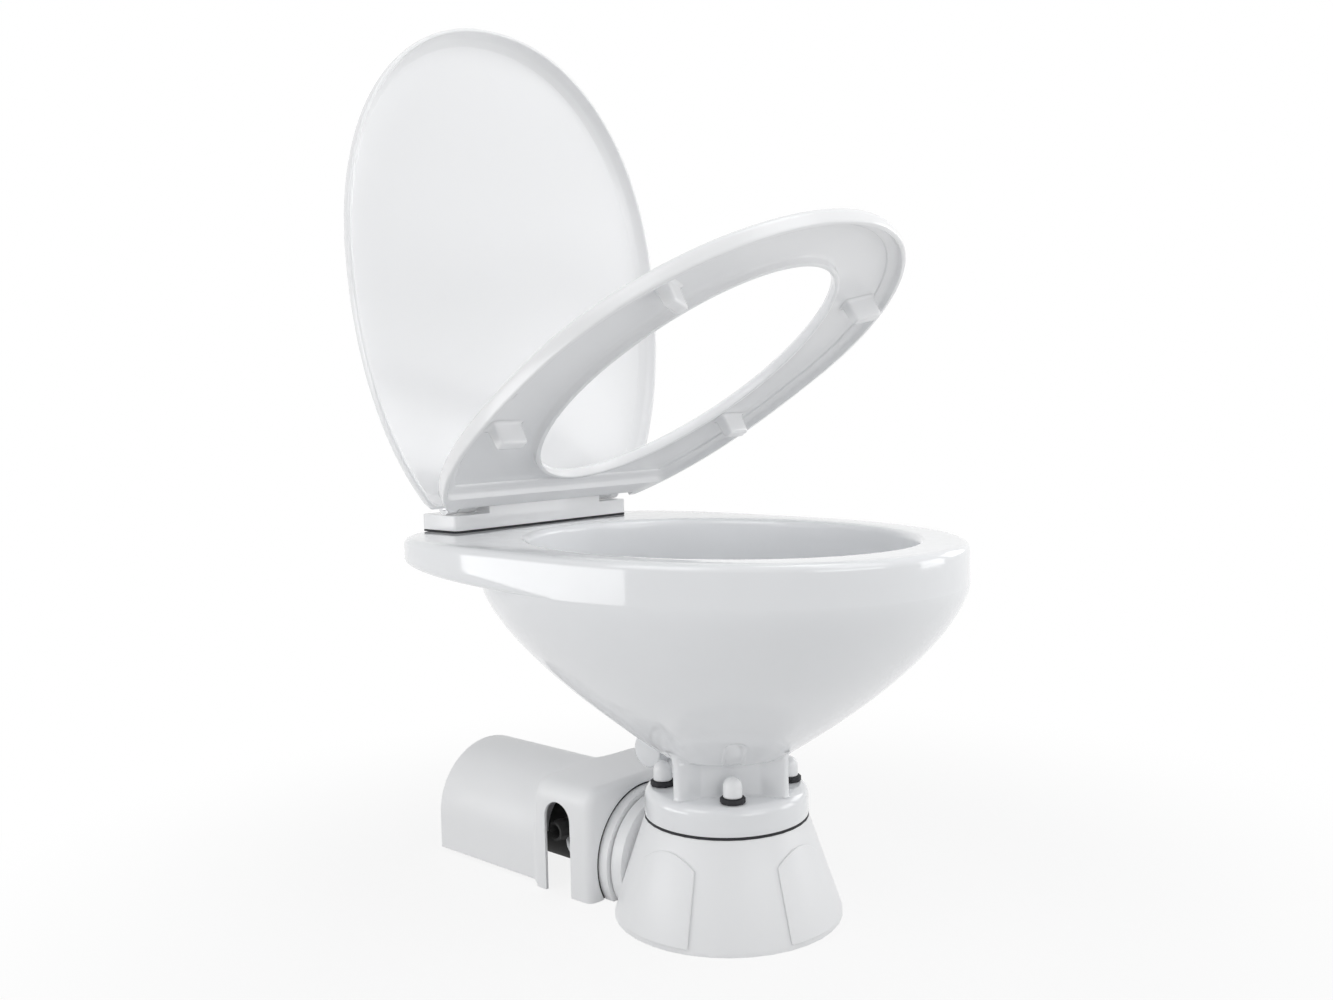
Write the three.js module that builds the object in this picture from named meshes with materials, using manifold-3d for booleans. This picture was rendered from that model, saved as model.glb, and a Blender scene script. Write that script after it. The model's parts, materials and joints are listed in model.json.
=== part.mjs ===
// Electric marine toilet: a glazed bowl on a macerator base, with the pump and
// motor lying behind it under a cover, and a hinged seat and lid.
// Millimetres, +Z up, the front of the bowl towards -Y, the hinge and motor towards +Y.
// The origin is the centre of the base on the floor.

import * as THREE from 'three';
import { mergeVertices } from 'three/addons/utils/BufferGeometryUtils.js';
import Module from 'manifold-3d';

const wasm = await Module();
wasm.setup();

// Clearances and cuts
const gap = 0.3;
const overrun = 4;

// Facet counts
const bowlSides = 36;
const seatSides = 36;
const roundSides = 20;
const smallSides = 10;
const cornerSteps = 2;
const facetSlack = 0.1;

// Base
const baseBottomRadius = 106;
const baseTopRadius = 76;
const baseHeight = 91.5;
const baseLip = 4;
const baseWall = 5;
const baseTopPlate = 7;
const cupRadius = 50;
const cupWall = 6;
const cupFloor = 6;

// Shaft axis of macerator, pump and motor
const shaftHeight = 40;
const shaftRadius = 4;

// Rear boss of the base and the macerator flange on it
const bossRadius = 74;
const bossFront = 79;
const bossRear = 92;
const ductRadius = 30;
const ductWall = 6;
const flangeRadius = 71;
const flangeThickness = 11;

// Access covers on the cone
const coverBottom = 5;
const coverShoulder = 66;
const coverTop = 78;
const coverHalfAngle = 20;
const coverThickness = 2;
const coverRows = 3;
const coverColumns = 8;

// Seal between base and bowl
const sealThickness = 1.9;
const sealWidth = 20;

// Foot of the bowl
const footRadius = 76;
const footHeight = 26;
const footRound = 9;
const columnRadius = 70;
const columnTop = 163;
const ribWidth = 8;
const pocketDepth = 42;
const pocketHalfWidth = 27;
const pocketCorner = 9;
const pocketHeight = 32;
const archHalfWidth = 9;
const archStartRadius = 56;
const archStartRise = 2;
const archLength = 48;
const archSlope = 37;
const archDepth = 2.5;
const throatRadius = 34;
const coreRadius = 38;

// Foot bolts
const boltCircle = 58.7;
const boltRadius = 4;
const boltLength = 68;
const boltClearance = 1.2;
const washerRadius = 11.5;
const washerThickness = 4.5;
const boltHeadAcross = 13;
const boltHeadHeight = 6.5;
const capRadius = 9;
const capHeight = 18;
const capWall = 1.1;

// Bowl
const waistRadius = 55.3;
const waistHeight = 149;
const flareExponent = 1.5;
const rimHeight = 350;
const rimBand = 35;
const rimCentre = 20.8;
const rimHalfWidth = 194;
const rimFront = 250.6;
const rimRear = 275;
const rimFrontPower = 2;
const rimRearPower = 4.3;
const underRear = 201;
const underRearPower = 2.3;
const deckRise = 14.4;
const rimRound = 7;
const openingCentre = 7;
const openingHalfWidth = 155;
const openingFront = 191;
const openingRear = 191;
const lipDepth = 32;
const lipWall = 9;
const channelWidth = 19;
const rimTopWall = 12;
const bowlWall = 12;
const bowlFloor = 164;

// Flush inlet at the back of the foot
const inletBossRadius = 17;
const inletBossLength = 40;
const inletReach = 81;
const inletRise = 21;
const inletBore = 11;
const inletDepth = 22;
const grommetWall = 3;
const nippleWall = 2;
const nippleLength = 42;
const barbRise = 1.4;
const barbPitch = 10;
const barbCount = 2;

// Macerator
const maceratorRadius = 39;
const maceratorLength = 58;
const maceratorBore = 29;
const maceratorRearWall = 5;
const dischargeRadius = 9;
const dischargeWall = 2.5;
const dischargeBossWall = 6;
const dischargeBossReach = 48;
const dischargeTip = 94;
const gasketThickness = 1.2;
const bladeThickness = 4;
const bladeWidth = 12;
const bladeOffset = 9;
const impellerVanes = 4;
const impellerVaneWidth = 3;
const impellerLength = 30;
const hubWall = 5;
const bladeRunning = 3;

// Shaft seal
const sealRingOuter = 9;
const sealRingLength = 4;

// Flush pump
const pumpLength = 23;
const pumpRadius = 37;
const pumpChamber = 22;
const pumpFrontWall = 4;
const pumpPlate = 4;
const pumpPortRise = 16;
const pumpPortRadius = 7;
const pumpPortWall = 4;
const pumpPortTip = 66;
const flexVanes = 6;
const flexVaneWidth = 3;
const flexRunning = 1;

// Long screws through pump and macerator
const screwCircle = 33;
const screwRadius = 2;
const screwHead = 3.6;
const screwHeadHeight = 3;
const screwBite = 20;

// Motor
const motorRadius = 37;
const motorLength = 122;
const motorWall = 2.5;
const endCapLength = 18;
const endCapWall = 4;
const bearingRadius = 11;
const bearingWidth = 8;
const magnetThickness = 5;
const magnetLength = 72;
const airGap = 1.5;
const armatureLength = 76;
const armatureSlots = 12;
const slotDepth = 5;
const slotWidth = 3;
const commutatorRadius = 11;
const commutatorLength = 16;
const brushWidth = 7;
const glandRadius = 6;
const glandLength = 12;
const saddleHalfWidth = 24;
const saddleLength = 26;
const saddleHeight = 14;

// Motor cover
const coverWall = 3;
const coverFloor = 2.5;
const archRadius = 70;
const archRear = 341;
const boxHalfWidth = 77;
const boxFront = 117;
const boxRear = 184;
const boxTop = 99;
const boxCorner = 12;
const boxFloor = 0.5;
const nearSlotStart = 136;
const nearSlotWidth = 38;
const slotTop = 89;
const farSlotStart = 123;
const farSlotWidth = 52;
const coverScrewRadius = 2.2;
const coverScrewHead = 4.5;
const coverScrewLength = 16;

// Hinge, fixed half
const hingeY = 252;
const hingeRise = 26;
const padThickness = 1.6;
const plateHalfWidth = 119;
const plateFront = 233;
const plateRear = 288;
const plateThickness = 14.8;
const plateCorner = 6;
const blockHalfWidth = 77;
const blockRise = 7.5;
const blockDepth = 39;
const blockRound = 5;
const pinRadius = 4;
const damperRadius = 5.5;
const damperInset = 12;
const hingeBoltX = 94;
const hingeBoltBehind = 15;
const hingeBoltRadius = 4;
const hingeBoltHead = 8;
const hingeHeadHeight = 4;
const hingeBoltClearance = 1.5;
const spotRadius = 15;
const spotDrop = 26;
const hingeFlangeThickness = 3;
const hingeNutAcross = 20;
const hingeNutHeight = 9;
const hingeBoltTail = 5;

// Knuckles
const knuckleRadius = 8.5;
const seatKnuckleInner = 83;
const seatKnuckleOuter = 106;
const lidKnuckleOuter = 118.5;
const knuckleGap = 1;
const swingRadius = 22.5;

// Seat
const seatAngle = 31.8;
const seatHalfWidth = 200;
const seatCentre = 250;
const seatFront = 227.5;
const seatRear = 275;
const seatFrontPower = 1.97;
const seatRearPower = 2.55;
const seatRearStop = 15;
const seatSkirt = 15.5;
const seatCrown = 2.2;
const holeCentre = 236;
const holeWidthShare = 0.57;
const holeFront = 174;
const holeRear = 161;
const holeEdge = 13;
const seatWall = 5;
const channelRoof = 4.5;
const channelRear = 38;
const reliefAbovePlate = 1.2;
const reliefBeyondPlate = 2.5;

// Seat bumpers
const bumperLength = 30;
const bumperWidth = 14;
const bumperTaper = 2.5;
const rearBumperShare = 0.785;
const rearBumperU = 155;
const frontBumperShare = 0.655;
const frontBumperU = 360;

// Lid
const lidAngle = 95.4;
const lidOverhang = 5.5;
const lidCentre = 231;
const lidFront = 251.5;
const lidRear = 302;
const lidFrontPower = 2.13;
const lidRearPower = 2.15;
const lidRearStop = -2;
const lidSkirt = 9.4;
const lidEdge = 2.8;
const lidThickness = 2.6;
const lidUnderside = 6.3;
const lidCrown = 4.5;
const lidPanelInset = 22;
const lidRearTrim = 5;

// Derived places
const sealBottom = baseHeight + gap;
const footBottom = sealBottom + sealThickness + gap;
const footTop = footBottom + footHeight;
const inletHeight = footTop + inletRise;
const pocketTop = footTop + pocketHeight;
const creaseHeight = rimHeight - rimBand;
const spotHeight = rimHeight - spotDrop;
const hingeZ = rimHeight + hingeRise;
const padBottom = rimHeight + gap;
const plateBottom = padBottom + padThickness + gap;
const plateTop = plateBottom + plateThickness;
const gasketRear = bossRear + gap + gasketThickness;
const maceratorFront = gasketRear + gap;
const maceratorRear = maceratorFront + maceratorLength;
const dischargeY = maceratorRear - dischargeRadius - dischargeBossWall - 2 * gap;
const pumpFront = maceratorRear + gap;
const pumpRear = pumpFront + pumpLength;
const pumpPortY = pumpFront + pumpLength / 2;
const motorFront = pumpRear + gap + pumpPlate + gap;
const motorRear = motorFront + motorLength;
const shaftFront = maceratorFront + bladeRunning;
const shaftRear = motorRear + endCapLength - endCapWall - gap;
const armatureFront = motorFront + (motorLength - armatureLength) / 3;
const washerTop = footTop + gap + washerThickness;
const hingeBoltY = hingeY + hingeBoltBehind;
const holeHalfWidth = seatHalfWidth * holeWidthShare;
const rearBumperX = seatHalfWidth * rearBumperShare;
const frontBumperX = seatHalfWidth * frontBumperShare;
const lidHalfWidth = seatHalfWidth + lidOverhang;

// Materials
const ceramic = { color: 0xf2f3f4, roughness: 0.12, metalness: 0 };
const whitePlastic = { color: 0xeeeff1, roughness: 0.3, metalness: 0 };
const blackRubber = { color: 0x18191a, roughness: 0.75, metalness: 0 };
const steel = { color: 0xb9bcc0, roughness: 0.3, metalness: 1 };
const copperMetal = { color: 0xb06a3c, roughness: 0.4, metalness: 1 };
const blackPlastic = { color: 0x232426, roughness: 0.5, metalness: 0 };

const toilet = new THREE.Group();
const seatPivot = new THREE.Group();
const lidPivot = new THREE.Group();
seatPivot.position.set(0, hingeY, hingeZ);
lidPivot.position.set(0, hingeY, hingeZ);
seatPivot.rotation.x = -THREE.MathUtils.degToRad(seatAngle);
lidPivot.rotation.x = -THREE.MathUtils.degToRad(lidAngle);
toilet.add(seatPivot, lidPivot);

function place(name, manifold, finish, parent = toilet) {
  const mesh = new THREE.Mesh(toGeometry(manifold), new THREE.MeshStandardMaterial(finish));
  mesh.name = name;
  parent.add(mesh);
}

// Closed geometry to solid and back

function signedVolume(position, index) {
  const a = new THREE.Vector3();
  const b = new THREE.Vector3();
  const c = new THREE.Vector3();
  let sum = 0;
  for (let i = 0; i < index.length; i += 3) {
    a.fromArray(position, index[i] * 3);
    b.fromArray(position, index[i + 1] * 3);
    c.fromArray(position, index[i + 2] * 3);
    sum += a.dot(b.cross(c));
  }
  return sum;
}

function solid(geometry) {
  geometry.deleteAttribute('normal');
  geometry.deleteAttribute('uv');
  const merged = mergeVertices(geometry);
  const position = merged.attributes.position.array;
  const index = [];
  for (let i = 0; i < merged.index.count; i += 3) {
    const [a, b, c] = merged.index.array.slice(i, i + 3);
    if (a !== b && b !== c && c !== a) index.push(a, b, c);
  }
  if (signedVolume(position, index) < 0) index.reverse();
  return new wasm.Manifold(new wasm.Mesh({
    numProp: 3,
    vertProperties: new Float32Array(position),
    triVerts: new Uint32Array(index),
  }));
}

function toGeometry(manifold) {
  const mesh = manifold.simplify(facetSlack).getMesh();
  const geometry = new THREE.BufferGeometry();
  geometry.setAttribute('position', new THREE.BufferAttribute(mesh.vertProperties, 3));
  geometry.setIndex(new THREE.BufferAttribute(mesh.triVerts, 1));
  geometry.computeVertexNormals();
  return geometry;
}

function join(...parts) {
  return parts.reduce((sum, part) => sum.add(part));
}

function cut(body, ...tools) {
  return tools.reduce((rest, tool) => rest.subtract(tool), body);
}

// Copies of one piece, each with its own name
function placeEach(names, manifolds, finish, parent = toilet) {
  names.forEach((name, k) => place(name, manifolds[k], finish, parent));
}

const sideNames = (name) => [`${name}_left`, `${name}_right`];
const cornerNames = (name) => [1, 2, 3, 4].map((k) => `${name}_${k}`);

// A body through closed rings of points. It closes on its first ring, or gets a cap at each end
function loft(rings, closed) {
  const count = rings[0].length;
  const positions = rings.flat(2);
  const index = [];
  const bands = closed ? rings.length : rings.length - 1;
  for (let r = 0; r < bands; r += 1) {
    const low = r * count;
    const high = ((r + 1) % rings.length) * count;
    for (let i = 0; i < count; i += 1) {
      const j = (i + 1) % count;
      index.push(low + i, low + j, high + j, low + i, high + j, high + i);
    }
  }
  if (!closed) {
    const first = rings.length * count;
    const last = first + 1;
    const top = (rings.length - 1) * count;
    positions.push(...centreOf(rings[0]), ...centreOf(rings[rings.length - 1]));
    for (let i = 0; i < count; i += 1) {
      const j = (i + 1) % count;
      index.push(first, j, i, last, top + i, top + j);
    }
  }
  const geometry = new THREE.BufferGeometry();
  geometry.setAttribute('position', new THREE.Float32BufferAttribute(positions, 3));
  geometry.setIndex(index);
  return solid(geometry);
}

function centreOf(ring) {
  const sum = ring.reduce((total, p) => total.map((value, k) => value + p[k]), [0, 0, 0]);
  return sum.map((value) => value / ring.length);
}

// Revolved bodies. A profile is a list of [radius, height]
function revolve(profile, sides) {
  const points = profile.map(([radius, height]) => new THREE.Vector2(radius, height));
  return new THREE.LatheGeometry(points, sides);
}

function revolveZ(profile, x = 0, y = 0, sides = roundSides) {
  return solid(revolve(profile, sides).rotateX(Math.PI / 2).translate(x, y, 0));
}

function revolveY(profile, x = 0, z = shaftHeight, sides = roundSides) {
  return solid(revolve(profile, sides).translate(x, 0, z));
}

function revolveX(profile, y = 0, z = 0, sides = smallSides) {
  return solid(revolve(profile, sides).rotateZ(-Math.PI / 2).translate(0, y, z));
}

function rod(radius, low, high) {
  return [[0, low], [radius, low], [radius, high], [0, high]];
}

function sleeve(inner, outer, low, high) {
  return [[inner, low], [outer, low], [outer, high], [inner, high], [inner, low]];
}

// Extruded bodies
function prism(shape, low, high) {
  const options = { depth: high - low, bevelEnabled: false, curveSegments: cornerSteps };
  return new THREE.ExtrudeGeometry(shape, options).translate(0, 0, low);
}

function prismZ(shape, low, high) {
  return solid(prism(shape, low, high));
}

// The outline is in x and z
function prismY(shape, low, high) {
  return solid(prism(shape, -high, -low).rotateX(Math.PI / 2));
}

// The outline is in y and z
function prismX(shape, low, high) {
  const turned = new THREE.Matrix4().makeBasis(
    new THREE.Vector3(0, 1, 0),
    new THREE.Vector3(0, 0, 1),
    new THREE.Vector3(1, 0, 0),
  );
  return solid(prism(shape, low, high).applyMatrix4(turned));
}

function block(x0, x1, y0, y1, z0, z1) {
  const geometry = new THREE.BoxGeometry(x1 - x0, y1 - y0, z1 - z0);
  return solid(geometry.translate((x0 + x1) / 2, (y0 + y1) / 2, (z0 + z1) / 2));
}

function outlineOf(points) {
  return new THREE.Shape(points.map(([x, y]) => new THREE.Vector2(x, y)));
}

// Points on an arc, closer together on a large one
function arc(x, y, radius, from, to) {
  const sides = radius > cupRadius ? bowlSides : smallSides;
  const steps = Math.ceil(((to - from) / (Math.PI * 2)) * sides - Number.EPSILON * sides);
  return Array.from({ length: steps + 1 }, (unused, k) => {
    const angle = from + ((to - from) * k) / steps;
    return [x + radius * Math.cos(angle), y + radius * Math.sin(angle)];
  });
}

function roundedRectangle(x0, x1, y0, y1, corner) {
  const r = Math.min(corner, (x1 - x0) / 2 - gap, (y1 - y0) / 2 - gap);
  return outlineOf([
    ...arc(x1 - r, y1 - r, r, 0, Math.PI / 2),
    ...arc(x0 + r, y1 - r, r, Math.PI / 2, Math.PI),
    ...arc(x0 + r, y0 + r, r, Math.PI, Math.PI * 1.5),
    ...arc(x1 - r, y0 + r, r, Math.PI * 1.5, Math.PI * 2),
  ]);
}

// An upright outline with a round top: straight sides, and open or flat at the bottom
function archOutline(centre, halfWidth, bottom, top) {
  return outlineOf([
    [centre - halfWidth, bottom],
    [centre + halfWidth, bottom],
    ...arc(centre, top - halfWidth, halfWidth, 0, Math.PI),
  ]);
}

// A disc cut flat at the bottom where it would pass below the floor
function standingDisc(radius, bottom) {
  const reach = Math.min(1, (shaftHeight - bottom) / radius);
  const start = -Math.asin(reach);
  return outlineOf(arc(0, shaftHeight, radius, start, Math.PI - start));
}

function hexagon(across) {
  const corners = [0, 1, 2, 3, 4, 5].map((k) => {
    const angle = (k * Math.PI) / 3;
    const radius = across / Math.sqrt(3);
    return [radius * Math.cos(angle), radius * Math.sin(angle)];
  });
  return outlineOf(corners);
}

// An egg-shaped ring round the Z direction, front towards -Y. A rear stop cuts it straight
function eggRing(egg, inset, height, sides) {
  const ring = [];
  for (let i = 0; i < sides; i += 1) {
    const angle = (i / sides) * Math.PI * 2;
    const c = Math.cos(angle);
    const s = Math.sin(angle);
    const power = s > 0 ? egg.rearPower : egg.frontPower;
    const reach = s > 0 ? egg.rear : egg.front;
    const x = (egg.halfWidth - inset) * Math.sign(c) * Math.abs(c) ** (2 / power);
    const y = egg.centre + (reach - inset) * Math.sign(s) * Math.abs(s) ** (2 / power);
    const stop = egg.stop === undefined ? y : egg.stop - inset;
    ring.push([x, Math.min(y, stop), height]);
  }
  return ring;
}

function mixEggs(a, b, share) {
  const mixed = {};
  for (const key of ['halfWidth', 'front', 'rear', 'centre', 'frontPower', 'rearPower']) {
    mixed[key] = a[key] + (b[key] - a[key]) * share;
  }
  return mixed;
}

function mirrored(make) {
  return [-1, 1].map((side) => make(side));
}

function between(side, inner, outer) {
  return [Math.min(side * inner, side * outer), Math.max(side * inner, side * outer)];
}

// The four foot bolts stand on the diagonals
const boltAngles = [0, 1, 2, 3].map((k) => Math.PI / 4 + (k * Math.PI) / 2);

function atBolts(profile, sides = smallSides) {
  return boltAngles.map((a) => (
    revolveZ(profile, boltCircle * Math.cos(a), boltCircle * Math.sin(a), sides)
  ));
}

// Base

function coneRadius(z) {
  const share = Math.max(0, (z - baseLip) / (baseHeight - baseLip));
  return baseBottomRadius + (baseTopRadius - baseBottomRadius) * share;
}

function makeBase() {
  const plateUnder = baseHeight - baseTopPlate;
  const shell = revolveZ([
    [0, 0],
    [cupRadius + cupWall, 0],
    [cupRadius + cupWall, plateUnder],
    [coneRadius(plateUnder) - baseWall, plateUnder],
    [coneRadius(baseLip) - baseWall, baseLip],
    [baseBottomRadius - baseWall, 0],
    [baseBottomRadius, 0],
    [baseBottomRadius, baseLip],
    [baseTopRadius, baseHeight],
    [cupRadius, baseHeight],
    [cupRadius, cupFloor],
    [0, cupFloor],
  ], 0, 0, bowlSides);
  const boss = prismY(standingDisc(bossRadius, 0), bossFront, bossRear);
  const duct = revolveY(rod(ductRadius + ductWall, cupRadius, bossRear - overrun));
  const postRadius = boltRadius + boltClearance + baseWall;
  const posts = atBolts(rod(postRadius, baseHeight / 2, baseHeight - overrun));
  const ductBore = revolveY(rod(ductRadius, 0, bossRear + overrun));
  const cup = revolveZ(rod(cupRadius, cupFloor, baseHeight + overrun), 0, 0, bowlSides);
  const boltHoles = atBolts(rod(boltRadius + gap, 0, baseHeight + overrun));
  const far = baseBottomRadius + overrun;
  const behind = block(-far, far, bossRear, far, -overrun, baseHeight);
  const housing = cut(join(shell, boss, duct, ...posts), behind, ductBore, cup, ...boltHoles);
  place('base_housing', housing, whitePlastic);
}

// A plate that follows the cone, with an arched top
function makeAccessCover(name, facing) {
  const middle = THREE.MathUtils.degToRad(facing);
  const half = THREE.MathUtils.degToRad(coverHalfAngle);
  const ring = (row, depth) => {
    const share = row / coverRows;
    const points = [];
    for (let column = 0; column <= coverColumns; column += 1) {
      const across = (2 * column) / coverColumns - 1;
      const arch = (coverTop - coverShoulder) * (1 - across ** 2);
      const z = coverBottom + (coverShoulder + arch - coverBottom) * share;
      const radius = coneRadius(z) + gap + depth;
      const angle = middle + across * half;
      points.push([radius * Math.cos(angle), radius * Math.sin(angle), z]);
    }
    return points;
  };
  const rings = [];
  for (let row = 0; row <= coverRows; row += 1) {
    rings.push([...ring(row, coverThickness), ...ring(row, 0).reverse()]);
  }
  place(name, strip(rings), whitePlastic);
}

// A body through flat closed rings whose ends are covered between the two long sides
function strip(rings) {
  const count = rings[0].length;
  const half = count / 2;
  const positions = rings.flat(2);
  const index = [];
  for (let r = 0; r < rings.length - 1; r += 1) {
    for (let i = 0; i < count; i += 1) {
      const j = (i + 1) % count;
      const low = r * count;
      const high = low + count;
      index.push(low + i, low + j, high + j, low + i, high + j, high + i);
    }
  }
  const top = (rings.length - 1) * count;
  for (let i = 0; i < half - 1; i += 1) {
    const opposite = count - 1 - i;
    index.push(i, opposite, opposite - 1, i, opposite - 1, i + 1);
    index.push(top + i, top + opposite - 1, top + opposite, top + i, top + i + 1, top + opposite - 1);
  }
  const geometry = new THREE.BufferGeometry();
  geometry.setAttribute('position', new THREE.Float32BufferAttribute(positions, 3));
  geometry.setIndex(index);
  return solid(geometry);
}

// Bowl

const rimEgg = {
  halfWidth: rimHalfWidth,
  front: rimFront,
  rear: rimRear,
  centre: rimCentre,
  frontPower: rimFrontPower,
  rearPower: rimRearPower,
};
const creaseEgg = { ...rimEgg, rear: underRear, rearPower: underRearPower };
const waistCircle = {
  halfWidth: waistRadius,
  front: waistRadius,
  rear: waistRadius,
  centre: 0,
  frontPower: rimFrontPower,
  rearPower: rimFrontPower,
};
const throatCircle = {
  ...waistCircle,
  halfWidth: throatRadius,
  front: throatRadius,
  rear: throatRadius,
};
const openingEgg = {
  halfWidth: openingHalfWidth,
  front: openingFront,
  rear: openingRear,
  centre: openingCentre,
  frontPower: rimFrontPower,
  rearPower: rimFrontPower,
};

const undersideShares = [0, 0.18, 0.4, 0.62, 0.82];
const deckSteps = 3;
const insideShares = [1, 0.8, 0.58, 0.36, 0.16, 0];

// How far out the flare of the bowl has come at a share of its height
function flareShare(share) {
  return 1 - (1 - share) ** flareExponent;
}

function bowlRing(egg, inset, height) {
  return eggRing(egg, inset, height, bowlSides);
}

function makeBowlBody() {
  const rings = [bowlRing(waistCircle, 0, footBottom)];
  for (const share of undersideShares) {
    const egg = mixEggs(waistCircle, creaseEgg, flareShare(share));
    rings.push(bowlRing(egg, 0, waistHeight + (creaseHeight - waistHeight) * share));
  }
  for (let k = 0; k <= deckSteps; k += 1) {
    const angle = ((k / deckSteps) * Math.PI) / 2;
    const egg = mixEggs(creaseEgg, rimEgg, Math.sin(angle));
    rings.push(bowlRing(egg, 0, creaseHeight + deckRise * (1 - Math.cos(angle))));
  }
  const lean = rimRound * (1 - Math.SQRT1_2);
  rings.push(bowlRing(rimEgg, 0, rimHeight - rimRound));
  rings.push(bowlRing(rimEgg, lean, rimHeight - lean));
  rings.push(bowlRing(rimEgg, rimRound, rimHeight));
  rings.push(bowlRing(openingEgg, -rimRound, rimHeight));
  rings.push(bowlRing(openingEgg, -lean, rimHeight - lean));
  rings.push(bowlRing(openingEgg, 0, rimHeight - rimRound));
  const channelInset = -lipWall - channelWidth;
  rings.push(bowlRing(openingEgg, 0, rimHeight - lipDepth));
  rings.push(bowlRing(openingEgg, -lipWall, rimHeight - lipDepth));
  rings.push(bowlRing(openingEgg, -lipWall, rimHeight - rimTopWall));
  rings.push(bowlRing(openingEgg, channelInset, rimHeight - rimTopWall));
  rings.push(bowlRing(openingEgg, channelInset, creaseHeight + deckRise / 2));
  const insideEgg = {
    ...creaseEgg,
    halfWidth: rimHalfWidth - bowlWall,
    front: rimFront - bowlWall,
    rear: underRear - bowlWall,
  };
  for (const share of insideShares) {
    const egg = mixEggs(throatCircle, insideEgg, flareShare(share));
    rings.push(bowlRing(egg, 0, bowlFloor + (creaseHeight - bowlFloor) * share));
  }
  rings.push(bowlRing(throatCircle, 0, footBottom));
  return loft(rings, true);
}

function footProfile() {
  const round = (share) => {
    const angle = (share * Math.PI) / 2;
    const out = footRound * (1 - Math.cos(angle));
    const up = footRound * (1 - Math.sin(angle));
    return [footRadius - out, footTop - up];
  };
  return [
    [coreRadius, footBottom],
    [footRadius, footBottom],
    round(0),
    round(1 / 2),
    round(1),
    [coreRadius, footTop],
    [coreRadius, footBottom],
  ];
}

function pocketOutline() {
  const edge = Math.PI / 4 - Math.asin(ribWidth / 2 / columnRadius);
  const ribX = columnRadius * Math.cos(edge);
  const ribY = columnRadius * Math.sin(edge);
  const slope = (ribY - pocketHalfWidth) / (ribX - pocketDepth);
  const farX = columnRadius + overrun;
  const farY = pocketHalfWidth + slope * (farX - pocketDepth);
  const cornerX = pocketDepth + pocketCorner / 2;
  const cornerY = pocketHalfWidth + (slope * pocketCorner) / 2;
  const shape = new THREE.Shape();
  shape.moveTo(farX, -farY);
  shape.lineTo(farX, farY);
  shape.lineTo(cornerX, cornerY);
  shape.quadraticCurveTo(pocketDepth, pocketHalfWidth, pocketDepth, pocketHalfWidth - pocketCorner);
  shape.lineTo(pocketDepth, pocketCorner - pocketHalfWidth);
  shape.quadraticCurveTo(pocketDepth, -pocketHalfWidth, cornerX, -cornerY);
  shape.closePath();
  return shape;
}

function makeBowl() {
  const column = revolveZ(sleeve(coreRadius, columnRadius, footTop - overrun, columnTop));
  const foot = revolveZ(footProfile(), 0, 0, bowlSides);
  const pockets = (top) => boltAngles.map((a) => (
    solid(prism(pocketOutline(), footTop, top).rotateZ(a))
  ));
  const ribs = cut(column, ...pockets(columnTop + overrun));
  const neck = cut(makeBowlBody(), ...pockets(pocketTop));
  const arches = boltAngles.map((a) => {
    const arch = prism(archOutline(0, archHalfWidth, -overrun, archLength), -archLength, archDepth);
    arch.rotateX(THREE.MathUtils.degToRad(archSlope));
    arch.translate(0, archStartRadius, pocketTop + archStartRise);
    return solid(arch.rotateZ(a - Math.PI / 2));
  });
  const bossEnd = inletBossLength / 2;
  const boss = revolveX(rod(inletBossRadius, -bossEnd, bossEnd), inletReach, inletHeight, roundSides);
  const shell = join(cut(neck, ...arches), ribs, foot, boss);

  const boltBottom = footBottom - overrun;
  const boltHoles = atBolts(rod(boltRadius + boltClearance, boltBottom, footTop + overrun));
  const inletBody = rod(inletBore, bossEnd - inletDepth, bossEnd + overrun);
  const inlet = revolveX(inletBody, inletReach, inletHeight);
  const hingeHole = rod(hingeBoltRadius + hingeBoltClearance, creaseHeight, rimHeight + overrun);
  const hingeSpot = rod(spotRadius, creaseHeight - overrun, spotHeight);
  const hingeHoles = [-hingeBoltX, hingeBoltX].flatMap((x) => (
    [hingeHole, hingeSpot].map((profile) => revolveZ(profile, x, hingeBoltY, smallSides))
  ));
  place('bowl', cut(shell, inlet, ...boltHoles, ...hingeHoles), ceramic);
}

function makeBowlSeal() {
  const outer = footRadius + gap;
  const profile = sleeve(outer - sealWidth, outer, sealBottom, sealBottom + sealThickness);
  const ring = revolveZ(profile, 0, 0, bowlSides);
  const holes = atBolts(rod(boltRadius + gap, sealBottom - overrun, sealBottom + overrun));
  place('bowl_seal', cut(ring, ...holes), blackRubber);
}

// Foot bolts, screwed down into the posts of the base, each under a cap

function makeFootBolts() {
  const headBottom = washerTop + gap;
  const shanks = atBolts(rod(boltRadius, headBottom - boltLength, headBottom + boltHeadHeight / 2));
  const bolts = boltAngles.map((a, k) => {
    const head = prism(hexagon(boltHeadAcross), headBottom, headBottom + boltHeadHeight);
    return join(shanks[k], solid(head.translate(boltCircle * Math.cos(a), boltCircle * Math.sin(a), 0)));
  });
  placeEach(cornerNames('foot_bolt'), bolts, steel);
  const washer = sleeve(boltRadius + gap, washerRadius, footTop + gap, washerTop);
  placeEach(cornerNames('bolt_washer'), atBolts(washer), blackRubber);
  const dome = (radius, height, angles) => [
    [radius, headBottom],
    ...angles.map((angle) => (
      [radius * Math.cos(angle), headBottom + height - radius * (1 - Math.sin(angle))]
    )),
    [0, headBottom + height],
  ];
  const outside = dome(capRadius, capHeight, [0, Math.PI / 6, Math.PI / 3]);
  const inside = dome(capRadius - capWall, capHeight - capWall, [0, Math.PI / 4]);
  const cap = [...outside.reverse(), ...inside];
  placeEach(cornerNames('bolt_cap'), atBolts(cap), whitePlastic);
}

// Flush inlet

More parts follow.
